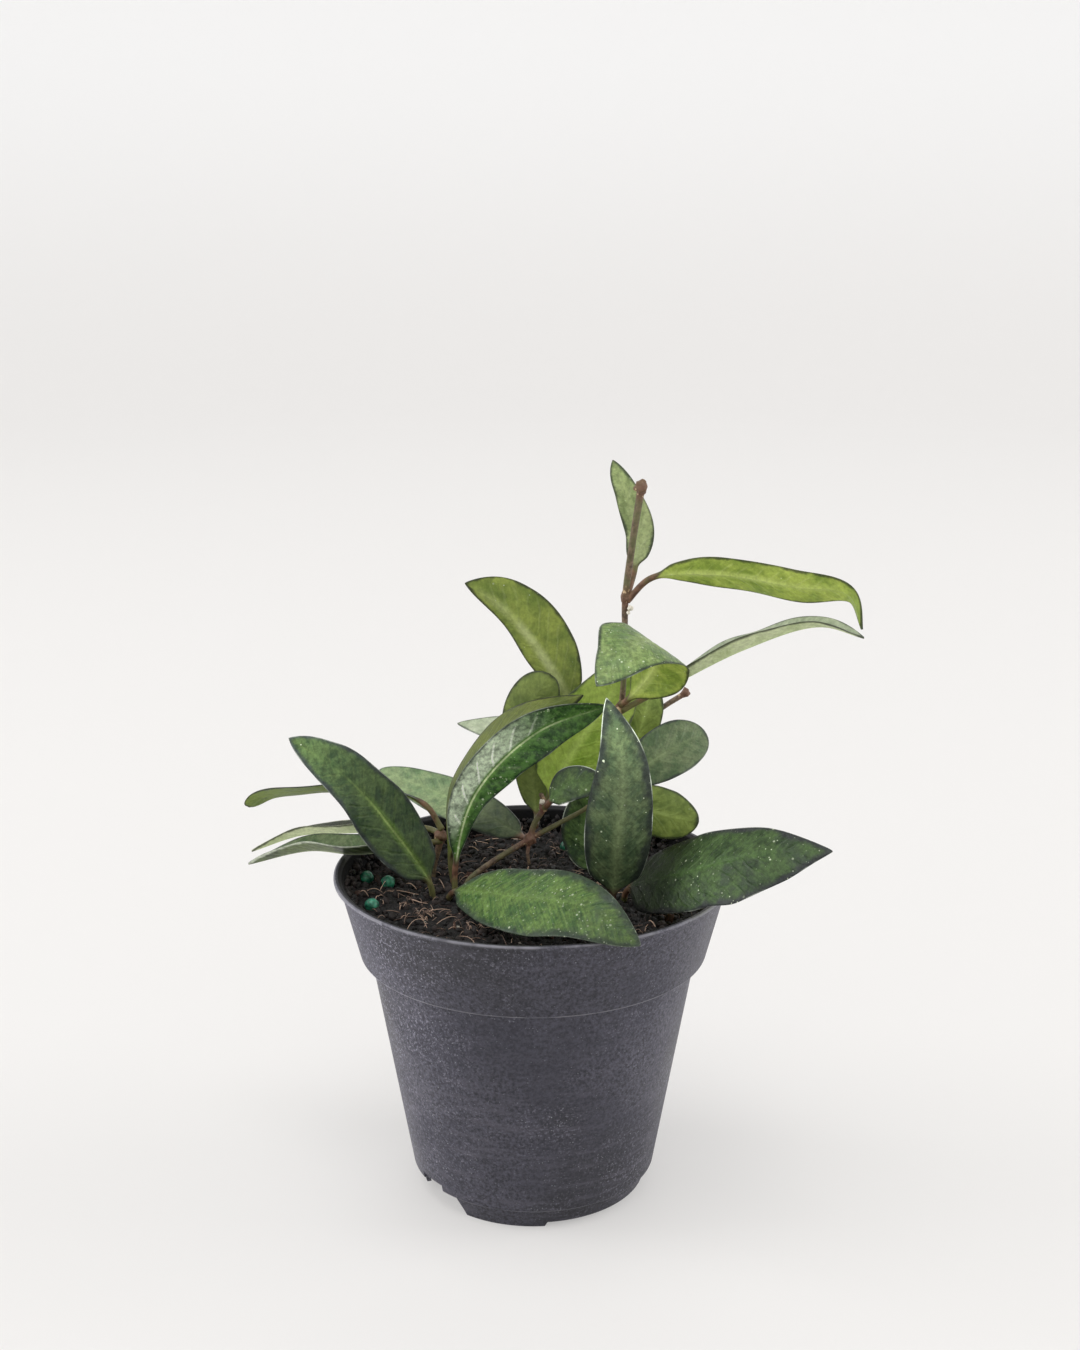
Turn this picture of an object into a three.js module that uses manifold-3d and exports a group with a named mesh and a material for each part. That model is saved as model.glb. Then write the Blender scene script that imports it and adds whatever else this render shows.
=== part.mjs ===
// A young hoya plant in a round plastic nursery pot, in millimetres with +Z up.
// The origin is on the pot's axis at the ground. The front of the pot is towards -Y and +X is right.
import * as THREE from "three";
import { mergeVertices } from "three/addons/utils/BufferGeometryUtils.js";
import Module from "manifold-3d";

const wasm = await Module();
wasm.setup();

// Driving dimensions of the pot
const POT_HEIGHT = 88;
const RIM_RADIUS = 52.5;
const RIM_LIP_DEPTH = 1;
const RIM_INNER_RADIUS = 51.3;
const BAND_TOP_RADIUS = 51.2;
const BAND_BOTTOM_RADIUS = 45.9;
const BAND_BOTTOM = 66.5;
const BODY_TOP_RADIUS = 43.3;
const BODY_BOTTOM_RADIUS = 32.7;
const WALL = 1.2;
const FLOOR_TOP = 6.2;
const FLOOR_UNDERSIDE = 4.8;
const FOOT_TOP = 5.8;
const FOOT_TOP_RADIUS = 31.4;
const FOOT_BOTTOM_RADIUS = 29.8;
const FOOT_INNER_RADIUS = 28.6;
const FOOT_RELIEF = 1.4;
const RELIEF_SLOPE = 3;
const NOTCH_SLOPE = 6;
const POT_SIDES = 64;

// Sectors of the foot ring, in degrees from the front towards +X; their ends slope by the degrees above
const SHORT_FOOT = [[7, 95], [171, 200], [248, 291]];
const DRAIN_NOTCHES = [[-69, -41], [143, 171]];
const DRAIN_SLOT_HALF_ANGLE = 8;
const DRAIN_SLOT_TOP = 7.8;
const DRAIN_SLOT_BOTTOM = 2;
const DRAIN_SLOT_INNER_RADIUS = 28.4;
const DRAIN_NOTCH_TOP = 5;
const CUT_INNER_RADIUS = 26;
const CUT_OUTER_RADIUS = 36;
const CUT_BOTTOM = -1;

// Soil, fertiliser beads and the free space between two pieces
const SOIL_LEVEL = 81.3;
const GAP = 0.3;
const BEAD_RADIUS = 1.9;
const BEAD_LIFT = 0.8;
const BEADS = [[-44.8, 8.5], [-38.8, 5], [-41.8, -11.2], [9.5, 32.8]];

// Leaves and stems
const LEAF_THICKNESS = 0.9;
const PETIOLE_RADIUS = 0.8;
const TIP_HALF_WIDTH = 0.4;
const LEAF_SIDES = 10;
const STEM_SIDES = 6;
const BLADE_STATIONS = [0, 0.04, 0.1, 0.18, 0.28, 0.39, 0.5, 0.61, 0.72, 0.82, 0.9, 0.96, 1];

// Colours of the materials
const DARK_GREEN = 0x33502f;
const GREY_GREEN = 0x5c7558;
const BRIGHT_GREEN = 0x4a7636;
const OLIVE = 0x7b9142;
const STEM_BROWN = 0x6b5546;
const POT_GREY = 0x4f4e57;
const SOIL_BROWN = 0x2a201c;
const BEAD_TEAL = 0x2f6a5c;

// Each leaf has its midrib from the stem through the base of the blade (the second point) to the tip.
// Then come its width, the way its upper face looks, the fold and cup of its halves in degrees,
// how it narrows to its base and tip, and shares of the half-width at even steps from base to tip for its
// two margins. A rooted leaf stands in the soil on its own petiole.
const LEAVES = [
  { name: "leaf_left_front", rooted: true, colour: DARK_GREEN, width: 17, facing: [0.35, -0.9, 0.35], fold: 4, cup: 4,
    wave: 1, plus: [1, 1, 1, 0.9, 1.05, 1.3], minus: [1, 1, 0.92, 0.86, 0.9, 1],
    midrib: [[-26.5, -2, 78], [-27, -4, 85], [-36.5, -6, 101], [-47.5, -9, 116], [-61.5, -13, 128]] },
  { name: "leaf_left_upper", colour: OLIVE, width: 14, facing: [0, 0.45, 0.89], tip: 0.35,
    midrib: [[-24.5, 12, 94.5], [-29, 14, 101], [-40, 19, 103.5], [-64, 25, 101.5], [-74.5, 28, 99],
      [-79, 29, 95.5]] },
  { name: "leaf_left_middle", colour: OLIVE, width: 11, facing: [0, 0.19, 0.98], fold: 27,
    midrib: [[-25, 12, 93.5], [-29.5, 18, 93], [-50.5, 28, 88.5], [-65.5, 34, 85.5], [-80, 37, 79.5]] },
  { name: "leaf_left_lower", colour: GREY_GREEN, width: 13, facing: [-0.1, 0.1, 1], fold: 34,
    midrib: [[-25, 12, 91.5], [-29, 7, 92.5], [-46.5, 8, 89.5], [-61, 16, 87.5], [-79, 24, 80.5]] },
  { name: "leaf_left_back", colour: DARK_GREEN, width: 13, facing: [-0.1, -0.6, 0.8], tip: 0.6,
    midrib: [[-1.5, 4, 94], [-2.5, 10, 93], [-14, 19, 97], [-27, 28, 100], [-43, 34, 104.5]] },
  { name: "leaf_arch_back", rooted: true, colour: OLIVE, width: 15, facing: [0.5, 0.5, -0.5], fold: 20, base: 0.8,
    midrib: [[-20.5, 6, 78], [-22, 6, 87], [-20.5, 5, 107.5], [-5.5, 2, 127.5], [13, 0, 135.5]] },
  { name: "leaf_arch_front", rooted: true, colour: DARK_GREEN, width: 14.5, facing: [0.4, -0.8, 0.2], fold: 10,
    cup: 5, base: 0.9, tip: 0.7, plus: [0.6, 0.6, 0.85, 1, 1], minus: [1, 1.1, 1.1, 1],
    midrib: [[-20.5, -1, 78], [-20.5, -1, 89], [-15, -4, 110], [1, -8, 128], [18.5, -8, 135]] },
  { name: "leaf_centre_front", rooted: true, colour: DARK_GREEN, width: 17.5, facing: [0, -1, 0.1], fold: -6,
    cup: -10, base: 0.45, tip: 0.85,
    midrib: [[20.5, -13, 78], [20.5, -15, 86], [21.5, -20, 106], [22, -22, 125], [18, -22, 141]] },
  { name: "leaf_rim_front", rooted: true, colour: BRIGHT_GREEN, width: 19.5, facing: [0.1, -0.7, 0.7],
    base: 0.75, tip: 0.75, plus: [1, 1, 1.05, 1.15, 1.15, 1.1], minus: [1, 0.97, 0.93, 0.93, 0.9, 0.8],
    midrib: [[-23, -3, 78.5], [-21, -7, 84], [-4, -29, 91.5], [12.5, -44, 94.5], [25.5, -52.5, 88.5]] },
  { name: "leaf_right_front", rooted: true, colour: DARK_GREEN, width: 21, facing: [0.1, -0.68, 0.72], fold: -3,
    cup: -5, base: 0.5, plus: [1, 1, 1, 1.08, 1.4, 1.4, 1], minus: [1, 1, 1.05, 1.1, 1],
    midrib: [[23.5, -5, 78], [24.5, -7, 84.5], [39, -27, 97.5], [55.5, -39, 106.5], [71.5, -44, 109]] },
  { name: "leaf_right_middle", colour: GREY_GREEN, width: 14.5, facing: [0.2, -0.8, 0.6], tip: 0.45,
    midrib: [[19.5, 6, 108.5], [23.5, 4, 110.5], [32, 8, 115.5], [40.5, 13, 119], [46.5, 17, 120]] },
  { name: "leaf_right_lower", colour: OLIVE, width: 14.5, facing: [-0.1, 0.9, 0.1], cup: 10, tip: 0.55,
    midrib: [[19, 6, 108], [21.5, 1, 106.5], [28.5, 1, 104.5], [36.5, 1, 102], [43.5, 0, 101]] },
  { name: "leaf_top_left", colour: OLIVE, width: 16, facing: [0.2, 0.9, -0.1], fold: 10,
    plus: [0.8, 0.6, 0.5, 0.6], minus: [1.05, 1.25, 1.4, 1.6],
    midrib: [[18.5, 25, 97], [10.5, 21, 126.5], [2.5, 26, 139.5], [-7.5, 30, 151], [-18.5, 33, 158]] },
  { name: "leaf_centre_left", colour: OLIVE, width: 16, facing: [0, 0.9, 0.2], cup: 10, base: 0.7, tip: 0.45,
    plus: [1, 0.8, 0.9, 1], minus: [1, 0.9, 1, 1],
    midrib: [[0.5, 4, 98.5], [1, 10, 99], [0, 13, 111.5], [-1, 16, 126.5], [4.5, 18, 136.5]] },
  { name: "leaf_back_left", colour: GREY_GREEN, width: 11, facing: [0, -0.5, 0.8], fold: 5,
    midrib: [[15, 25, 87.5], [11.5, 23, 111.5], [2, 27, 115.5], [-9, 31, 117], [-21, 34, 118]] },
  { name: "leaf_folded", colour: BRIGHT_GREEN, width: 20, facing: [0.35, -0.25, 0.9], base: 0.9,
    plus: [1, 1, 0.9, 0.8, 0.85, 1.1, 0.85, 0.8], minus: [1, 1.25, 1.1, 1, 1, 1],
    midrib: [[22.5, 0, 133], [24, -2, 134.5], [30.5, -6, 143.5], [29.5, -17, 153.5], [22.5, -29, 155],
      [15, -37, 148]] },
  { name: "leaf_centre_back", colour: OLIVE, width: 20, facing: [0.1, 0.9, 0.1], fold: 5,
    midrib: [[3, 4, 104], [4, 5, 106], [12, 8, 120.5], [20, 11, 131.5], [26.5, 14, 143.5]] },
  { name: "leaf_centre_right", colour: OLIVE, width: 10.5, facing: [0, 0.95, 0.1],
    midrib: [[27, 25, 111.5], [27.5, 21, 114], [29, 20, 121.5], [30.5, 19, 129], [30, 19, 136.5]] },
  { name: "leaf_centre_small", colour: DARK_GREEN, width: 9.5, facing: [0, -0.85, 0.5],
    midrib: [[3, 3, 104], [4.5, -1, 107], [8.5, -3, 112], [14, -6, 114], [19.5, -8, 114]] },
  { name: "leaf_centre_shaded", rooted: true, colour: DARK_GREEN, width: 14, facing: [0, -1, 0.2],
    midrib: [[19, 8, 78], [18.5, 9, 83.5], [15.5, 11, 90.5], [14, 12, 98.5], [15, 13, 107]] },
  { name: "leaf_right_top", colour: OLIVE, width: 13, facing: [0, 0.83, 0.56], fold: 4, base: 0.8,
    plus: [1, 1, 0.92, 0.85, 0.9, 1],
    midrib: [[24, 0, 160.5], [30, -3, 167], [46, -12, 170], [63.5, -22, 169], [75.5, -30, 168.5],
      [78, -34, 161]] },
  { name: "leaf_right_upper", colour: OLIVE, width: 11.5, facing: [-0.1, -0.1, 1], fold: 36,
    minus: [1, 0.95, 0.75, 0.72, 0.9],
    midrib: [[23, 1.5, 131], [34.5, -2, 138.5], [52.5, -14, 151.5], [69, -26, 160], [78.5, -34, 159]] },
  { name: "leaf_top", colour: OLIVE, width: 9.2, facing: [0, 0.95, 0.1], fold: -15,
    plus: [1, 0.75, 0.75, 1.2], minus: [1, 1, 0.95, 1],
    midrib: [[24, 0, 162], [26, 4, 168], [27, 8, 176], [23.5, 11, 187], [20.5, 13, 194.5]] },
];

// Each stem is one or more runs of points with a radius, its knots, and the petioles that grow from it.
const STEMS = [
  { name: "stem_main",
    runs: [
      [[-18.5, 3, 78, 0.8], [-17.5, 3, 83, 0.8], [-1.5, 4, 94.5, 0.8], [7, 5, 99, 0.65], [15, 6, 103.5, 0.65],
        [19.5, 6, 109, 0.7], [22, 3, 126.5, 0.75], [23, 1, 134, 0.8], [23.5, 0, 147.5, 0.7], [23.5, 0, 161, 0.9],
        [25, -1, 175, 0.9], [27, -3, 190, 1]],
      [[-1, 4, 95, 0.9], [0.5, 4, 99.5, 0.8], [3, 3, 104.5, 0.8], [2, 3, 108, 0.6]],
      [[-1, 4, 94, 0.6], [-1.5, 3, 91, 0.5], [-1, 3, 88, 0.45]],
    ],
    knots: [[-1, 4, 94.8, 1.6], [2.9, 3, 104.3, 1.2], [19.5, 6, 108.5, 1.2], [22.5, 2, 131.5, 1.3],
      [23.6, 0, 161.5, 1.4], [27, -3, 190, 1.6]],
    petioles: ["leaf_left_back", "leaf_right_middle", "leaf_right_lower", "leaf_centre_left", "leaf_folded",
      "leaf_centre_back", "leaf_centre_small", "leaf_right_top", "leaf_right_upper", "leaf_top"] },
  { name: "stem_left",
    runs: [[[-27.5, 12, 77.5, 0.9], [-27, 12, 84, 0.9], [-25.5, 12, 89.5, 0.9], [-24.5, 12, 94.5, 0.9]]],
    knots: [[-25, 12, 92.8, 1.7]],
    petioles: ["leaf_left_upper", "leaf_left_middle", "leaf_left_lower"] },
  { name: "stem_back",
    runs: [[[11, 24, 77.5, 0.9], [15.5, 25, 91.5, 0.9], [25, 25, 108.5, 0.8], [33, 25, 123, 0.7],
      [41.5, 26, 129, 0.8]]],
    knots: [[41.5, 26, 129, 1.2], [15.5, 25, 90, 1.2], [26.5, 25, 111, 1.2]],
    petioles: ["leaf_top_left", "leaf_back_left", "leaf_centre_right"] },
];

// A closed geometry with only its merged positions
function closed(geometry) {
  geometry.deleteAttribute("normal");
  geometry.deleteAttribute("uv");
  return mergeVertices(geometry, 1e-4);
}

function solid(geometry) {
  const whole = closed(geometry);
  const vertProperties = new Float32Array(whole.attributes.position.array);
  const triVerts = new Uint32Array(whole.index.array);
  return new wasm.Manifold(new wasm.Mesh({ numProp: 3, vertProperties, triVerts }));
}

function geometryOf(body) {
  const mesh = body.getMesh();
  const geometry = new THREE.BufferGeometry();
  geometry.setAttribute("position", new THREE.BufferAttribute(new Float32Array(mesh.vertProperties), 3));
  geometry.setIndex(Array.from(mesh.triVerts));
  geometry.computeVertexNormals();
  return geometry;
}

function join(bodies) {
  return bodies.reduce((whole, body) => whole.add(body));
}

function curveThrough(points) {
  return new THREE.CatmullRomCurve3(points.map((p) => new THREE.Vector3(p[0], p[1], p[2])), false, "centripetal");
}

// A capped cylinder bent along a path: place(station, x, z) gives the point for the cylinder's x and z,
// where station counts the rings from the start of the path.
function sweep(sides, stations, place) {
  const geometry = new THREE.CylinderGeometry(1, 1, 1, sides, stations - 1);
  const position = geometry.attributes.position;
  for (let i = 0; i < position.count; i += 1) {
    const station = Math.round((position.getY(i) + 0.5) * (stations - 1));
    const point = place(station, position.getX(i), position.getZ(i));
    position.setXYZ(i, point.x, point.y, point.z);
  }
  return geometry;
}

// Tangent, normal and side at even shares of a path, turned as little as possible from the share at home
function framesAlong(curve, facing, home) {
  const count = 96;
  const frames = [];
  for (let i = 0; i <= count; i += 1) {
    frames.push({ tangent: curve.getTangentAt(i / count).normalize() });
  }
  const settle = (frame, normal) => {
    frame.normal = normal.clone().addScaledVector(frame.tangent, -normal.dot(frame.tangent)).normalize();
  };
  const first = Math.round(home * count);
  settle(frames[first], facing);
  for (let i = first + 1; i <= count; i += 1) {
    settle(frames[i], frames[i - 1].normal);
  }
  for (let i = first - 1; i >= 0; i -= 1) {
    settle(frames[i], frames[i + 1].normal);
  }
  return (share) => {
    const at = Math.min(share * count, count - 1e-6);
    const low = Math.floor(at);
    const tangent = curve.getTangentAt(share).normalize();
    const normal = frames[low].normal.clone().lerp(frames[low + 1].normal, at - low);
    normal.addScaledVector(tangent, -normal.dot(tangent)).normalize();
    return { tangent, normal, side: tangent.clone().cross(normal) };
  };
}

// A round rod with a radius at each point of its path
function rod(points, sides = STEM_SIDES, extra = 0) {
  const curve = curveThrough(points);
  const spans = points.length - 1;
  const stations = spans * 2 + 1;
  curve.arcLengthDivisions = 60 * spans;
  const lengths = curve.getLengths();
  const total = lengths[lengths.length - 1];
  const frameAt = framesAlong(curve, new THREE.Vector3(0.1, -0.9, 0.3), 0.5);
  return sweep(sides, stations, (station, x, z) => {
    const t = station / (stations - 1);
    const share = lengths[Math.round(t * 60 * spans)] / total;
    const low = Math.min(Math.floor(t * spans), spans - 1);
    const radius = THREE.MathUtils.lerp(points[low][3], points[low + 1][3], t * spans - low) + extra;
    const { normal, side } = frameAt(share);
    return curve.getPointAt(share).addScaledVector(side, radius * x).addScaledVector(normal, radius * z);
  });
}

function knot([x, y, z, radius]) {
  return new THREE.SphereGeometry(radius, 8, 6).translate(x, y, z);
}

// The path of a leaf and the share of its length where the blade starts
function leafPath(leaf) {
  const curve = curveThrough(leaf.midrib);
  const spans = leaf.midrib.length - 1;
  curve.arcLengthDivisions = 60 * spans;
  const lengths = curve.getLengths();
  const total = lengths[lengths.length - 1];
  return { curve, total, bladeStart: lengths[60] / total };
}

// Half the width of a blade, as a share of its greatest half-width, at t from its base to its tip
function outline(t, base, tip) {
  const widest = base / (base + tip);
  return (t / widest) ** base * ((1 - t) / (1 - widest)) ** tip;
}

// The value at t of a list of values at even steps from 0 to 1
function stepped(values, t) {
  const at = t * (values.length - 1);
  const low = Math.min(Math.floor(at), values.length - 2);
  return THREE.MathUtils.lerp(values[low], values[low + 1], THREE.MathUtils.smoothstep(at - low, 0, 1));
}

// Sideways and upward place of a point at u (-1 to 1) across a blade that is folded and cupped
function across(u, halfWidth, fold, cup) {
  const start = THREE.MathUtils.degToRad(fold);
  const bend = THREE.MathUtils.degToRad(cup) || 1e-4;
  const end = start + bend * Math.abs(u);
  return {
    out: Math.sign(u) * halfWidth * (Math.sin(end) - Math.sin(start)) / bend,
    up: halfWidth * (Math.cos(start) - Math.cos(end)) / bend,
  };
}

// A leaf: a round petiole that opens into a thin blade of even thickness
function leafGeometry(leaf) {
  const { base = 0.6, tip = 0.8, fold = 0, cup = 0, wave = 0, plus = [1, 1], minus = [1, 1] } = leaf;
  const { curve, total, bladeStart } = leafPath(leaf);
  const home = bladeStart + (1 - bladeStart) / 2;
  const frameAt = framesAlong(curve, new THREE.Vector3(...leaf.facing), home);
  const start = leaf.rooted ? bladeStart : bladeStart + GAP / total;
  const stem = leaf.rooted ? [0, bladeStart * 0.35, bladeStart * 0.7] : [];
  const shares = [...stem, ...BLADE_STATIONS.map((t) => start + (1 - start) * t)];
  const halfTop = Math.cos(Math.PI / LEAF_SIDES);
  return sweep(LEAF_SIDES, shares.length, (station, x, z) => {
    const share = shares[station];
    const t = Math.max(0, (share - start) / (1 - start));
    const opened = THREE.MathUtils.smoothstep(t, 0, 0.11);
    const u = THREE.MathUtils.clamp(x / halfTop, -1, 1);
    const ownShare = stepped(u > 0 ? plus : minus, t);
    const half = Math.max(TIP_HALF_WIDTH, (leaf.width / 2) * outline(t, base, tip) * ownShare);
    const { out, up } = across(u, half, fold, cup);
    const ripple = wave * u * u * Math.sin(2 * Math.PI * (1.5 * t + 0.3)) * Math.sin(Math.PI * t);
    const sideways = THREE.MathUtils.lerp(PETIOLE_RADIUS * x, out, opened);
    const upward = THREE.MathUtils.lerp(PETIOLE_RADIUS * z, up + ripple + Math.sign(z) * LEAF_THICKNESS / 2, opened);
    const { normal, side } = frameAt(share);
    return curve.getPointAt(share).addScaledVector(side, sideways).addScaledVector(normal, upward);
  });
}

// The petiole of a leaf that is borne on a stem, from the stem to the base of the blade
function petiole(leaf) {
  const { curve, bladeStart } = leafPath(leaf);
  const frameAt = framesAlong(curve, new THREE.Vector3(...leaf.facing), 0);
  const stations = 4;
  return sweep(STEM_SIDES, stations, (station, x, z) => {
    const share = (bladeStart * station) / (stations - 1);
    const { normal, side } = frameAt(share);
    return curve.getPointAt(share).addScaledVector(side, PETIOLE_RADIUS * x).addScaledVector(normal, PETIOLE_RADIUS * z);
  });
}

// The hole that a stem or petiole leaves in the soil
function rootHole(points) {
  const [first, second] = [points[0], points[1]].map((p) => new THREE.Vector3(p[0], p[1], p[2]));
  const step = second.clone().sub(first).normalize();
  const begin = first.clone().addScaledVector(step, -2 * GAP);
  const finish = second.clone().addScaledVector(step, 3);
  const radius = (points[0][3] ?? PETIOLE_RADIUS) + GAP + 0.2;
  return rod([[...begin.toArray(), radius], [...finish.toArray(), radius]], 8);
}

// Height of the soil: uneven, with low crumbs
function soilHeight(x, y) {
  const swell = 0.3 * Math.sin(0.11 * x + 0.7) * Math.cos(0.13 * y + 0.4);
  const crumbs = 0.14 * Math.sin(0.83 * x - 0.42 * y) + 0.12 * Math.sin(0.57 * x + 0.95 * y + 1);
  return SOIL_LEVEL + swell + crumbs;
}

function turned(points) {
  return new THREE.LatheGeometry(points.map(([r, z]) => new THREE.Vector2(r, z)), POT_SIDES).rotateX(Math.PI / 2);
}

// A block over part of a ring, between two angles in degrees from the front towards +X.
// Its underside is wider by a slope in degrees at each end.
function sector([from, to], inner, outer, bottom, top, slope = 0) {
  const shape = new THREE.Shape();
  const steps = 8;
  for (let i = 0; i <= steps; i += 1) {
    const angle = THREE.MathUtils.degToRad(from + ((to - from) * i) / steps);
    const point = [outer * Math.sin(angle), -outer * Math.cos(angle)];
    if (i === 0) {
      shape.moveTo(...point);
    } else {
      shape.lineTo(...point);
    }
  }
  for (let i = steps; i >= 0; i -= 1) {
    const angle = THREE.MathUtils.degToRad(from + ((to - from) * i) / steps);
    shape.lineTo(inner * Math.sin(angle), -inner * Math.cos(angle));
  }
  shape.closePath();
  const block = new THREE.ExtrudeGeometry(shape, { depth: top - bottom, bevelEnabled: false });
  const position = block.attributes.position;
  const middle = THREE.MathUtils.degToRad((from + to) / 2);
  const wider = 1 + (2 * slope) / (to - from);
  for (let i = 0; i < position.count; i += 1) {
    if (position.getZ(i) < 0.5 * (top - bottom)) {
      const [x, y] = [position.getX(i), position.getY(i)];
      const turn = Math.atan2(Math.sin(Math.atan2(x, -y) - middle), Math.cos(Math.atan2(x, -y) - middle));
      const angle = middle + turn * wider;
      const radius = Math.hypot(x, y);
      position.setXY(i, radius * Math.sin(angle), -radius * Math.cos(angle));
    }
  }
  return block.translate(0, 0, bottom);
}

// The pot's inside radius at a height above the floor
function insideRadius(z) {
  const shelf = BAND_BOTTOM + WALL;
  if (z < shelf) {
    const share = (z - FLOOR_TOP) / (shelf - FLOOR_TOP);
    return THREE.MathUtils.lerp(BODY_BOTTOM_RADIUS - WALL, BODY_TOP_RADIUS - WALL, share);
  }
  const share = (z - shelf) / (POT_HEIGHT - RIM_LIP_DEPTH - shelf);
  return THREE.MathUtils.lerp(BAND_BOTTOM_RADIUS - WALL, BAND_TOP_RADIUS - WALL, share);
}

function potBody() {
  const lip = POT_HEIGHT - RIM_LIP_DEPTH;
  const shelf = BAND_BOTTOM + WALL;
  let body = solid(turned([
    [0, FLOOR_UNDERSIDE],
    [FOOT_INNER_RADIUS + 1.4, FLOOR_UNDERSIDE],
    [FOOT_INNER_RADIUS, 0],
    [FOOT_BOTTOM_RADIUS, 0],
    [FOOT_TOP_RADIUS, FOOT_TOP],
    [BODY_BOTTOM_RADIUS, FOOT_TOP],
    [BODY_TOP_RADIUS, BAND_BOTTOM],
    [BAND_BOTTOM_RADIUS, BAND_BOTTOM],
    [BAND_TOP_RADIUS, lip],
    [RIM_RADIUS, lip],
    [RIM_RADIUS, POT_HEIGHT],
    [RIM_INNER_RADIUS, POT_HEIGHT],
    [BAND_TOP_RADIUS - WALL, lip],
    [BAND_BOTTOM_RADIUS - WALL, shelf],
    [BODY_TOP_RADIUS - WALL, shelf],
    [BODY_BOTTOM_RADIUS - WALL, FLOOR_TOP],
    [0, FLOOR_TOP],
  ]));
  for (const span of SHORT_FOOT) {
    const block = sector(span, CUT_INNER_RADIUS, CUT_OUTER_RADIUS, CUT_BOTTOM, FOOT_RELIEF, RELIEF_SLOPE);
    body = body.subtract(solid(block));
  }
  for (const span of DRAIN_NOTCHES) {
    const middle = (span[0] + span[1]) / 2;
    const slot = [middle - DRAIN_SLOT_HALF_ANGLE, middle + DRAIN_SLOT_HALF_ANGLE];
    const notch = sector(span, CUT_INNER_RADIUS, CUT_OUTER_RADIUS, CUT_BOTTOM, DRAIN_NOTCH_TOP, NOTCH_SLOPE);
    const hole = sector(slot, DRAIN_SLOT_INNER_RADIUS, CUT_OUTER_RADIUS, DRAIN_SLOT_BOTTOM, DRAIN_SLOT_TOP);
    body = body.subtract(solid(notch)).subtract(solid(hole));
  }
  return body;
}

function soilBody() {
  const edge = insideRadius(SOIL_LEVEL) - GAP - 0.1;
  const shelf = BAND_BOTTOM + WALL + GAP;
  const bottom = FLOOR_TOP + GAP;
  const rings = 8;
  const profile = [
    [0, bottom],
    [insideRadius(bottom) - GAP, bottom],
    [insideRadius(shelf - GAP - 0.01) - GAP, shelf],
    [insideRadius(shelf) - GAP, shelf],
  ];
  for (let i = 0; i <= rings; i += 1) {
    profile.push([edge * (1 - i / rings), SOIL_LEVEL]);
  }
  const geometry = turned(profile);
  const position = geometry.attributes.position;
  for (let i = 0; i < position.count; i += 1) {
    if (position.getZ(i) > SOIL_LEVEL - 0.01) {
      position.setZ(i, soilHeight(position.getX(i), position.getY(i)));
    }
  }
  let body = solid(geometry);
  for (const leaf of LEAVES.filter((one) => one.rooted)) {
    body = body.subtract(solid(rootHole(leaf.midrib)));
  }
  for (const stem of STEMS) {
    body = body.subtract(solid(rootHole(stem.runs[0])));
  }
  for (const [x, y] of BEADS) {
    body = body.subtract(solid(bead(x, y, BEAD_RADIUS + GAP)));
  }
  return body;
}

function bead(x, y, radius) {
  return new THREE.SphereGeometry(radius, 10, 8).rotateX(Math.PI / 2).translate(x, y, soilHeight(x, y) + BEAD_LIFT);
}

const group = new THREE.Group();

function addPiece(name, geometry, color, roughness) {
  const material = new THREE.MeshStandardMaterial({ color, roughness, metalness: 0 });
  const mesh = new THREE.Mesh(geometry, material);
  mesh.name = name;
  group.add(mesh);
}

addPiece("pot", geometryOf(potBody()), POT_GREY, 0.55);
addPiece("soil", geometryOf(soilBody()), SOIL_BROWN, 0.95);
BEADS.forEach(([x, y], i) => {
  addPiece(`fertiliser_bead_${i + 1}`, closed(bead(x, y, BEAD_RADIUS)), BEAD_TEAL, 0.4);
});
for (const stem of STEMS) {
  const bodies = [
    ...stem.runs.map((points) => rod(points)),
    ...stem.knots.map(knot),
    ...stem.petioles.map((name) => petiole(LEAVES.find((leaf) => leaf.name === name))),
  ];
  addPiece(stem.name, geometryOf(join(bodies.map(solid))), STEM_BROWN, 0.7);
}
for (const leaf of LEAVES) {
  addPiece(leaf.name, closed(leafGeometry(leaf)), leaf.colour, 0.45);
}

export default group;
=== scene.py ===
"""A young hoya plant in a round plastic nursery pot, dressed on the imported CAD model.

Shapes are worked out in millimetres, as in the part's source, and written to the meshes in metres.
The origin is on the pot's axis at the ground, the front of the pot is towards -Y and +X is right.
"""
import math

import bmesh
import bpy
import numpy as np
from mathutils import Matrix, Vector, noise


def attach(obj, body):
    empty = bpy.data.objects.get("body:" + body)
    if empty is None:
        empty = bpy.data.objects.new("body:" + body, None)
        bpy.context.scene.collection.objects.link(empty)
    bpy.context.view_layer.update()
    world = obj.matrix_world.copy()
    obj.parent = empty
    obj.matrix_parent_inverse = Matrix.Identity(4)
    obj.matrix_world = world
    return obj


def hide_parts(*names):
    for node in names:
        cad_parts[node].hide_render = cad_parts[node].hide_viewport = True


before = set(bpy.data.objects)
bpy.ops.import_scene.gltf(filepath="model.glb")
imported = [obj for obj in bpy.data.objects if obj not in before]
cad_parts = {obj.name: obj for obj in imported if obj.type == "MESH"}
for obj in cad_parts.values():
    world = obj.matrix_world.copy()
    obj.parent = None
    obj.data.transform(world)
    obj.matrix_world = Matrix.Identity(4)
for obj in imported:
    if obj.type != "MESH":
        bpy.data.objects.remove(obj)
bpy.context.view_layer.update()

METRES = 0.001
rng = np.random.default_rng(11)

# The photograph's camera: its place, the way it looks, its lens and its sensor's width, in millimetres
CAMERA_AT = (0, -467.6, 265)
CAMERA_LOOKS = (0.0037, 0.9665, -0.2565)
CAMERA_LENS = 50.23
CAMERA_SENSOR = 36

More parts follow.
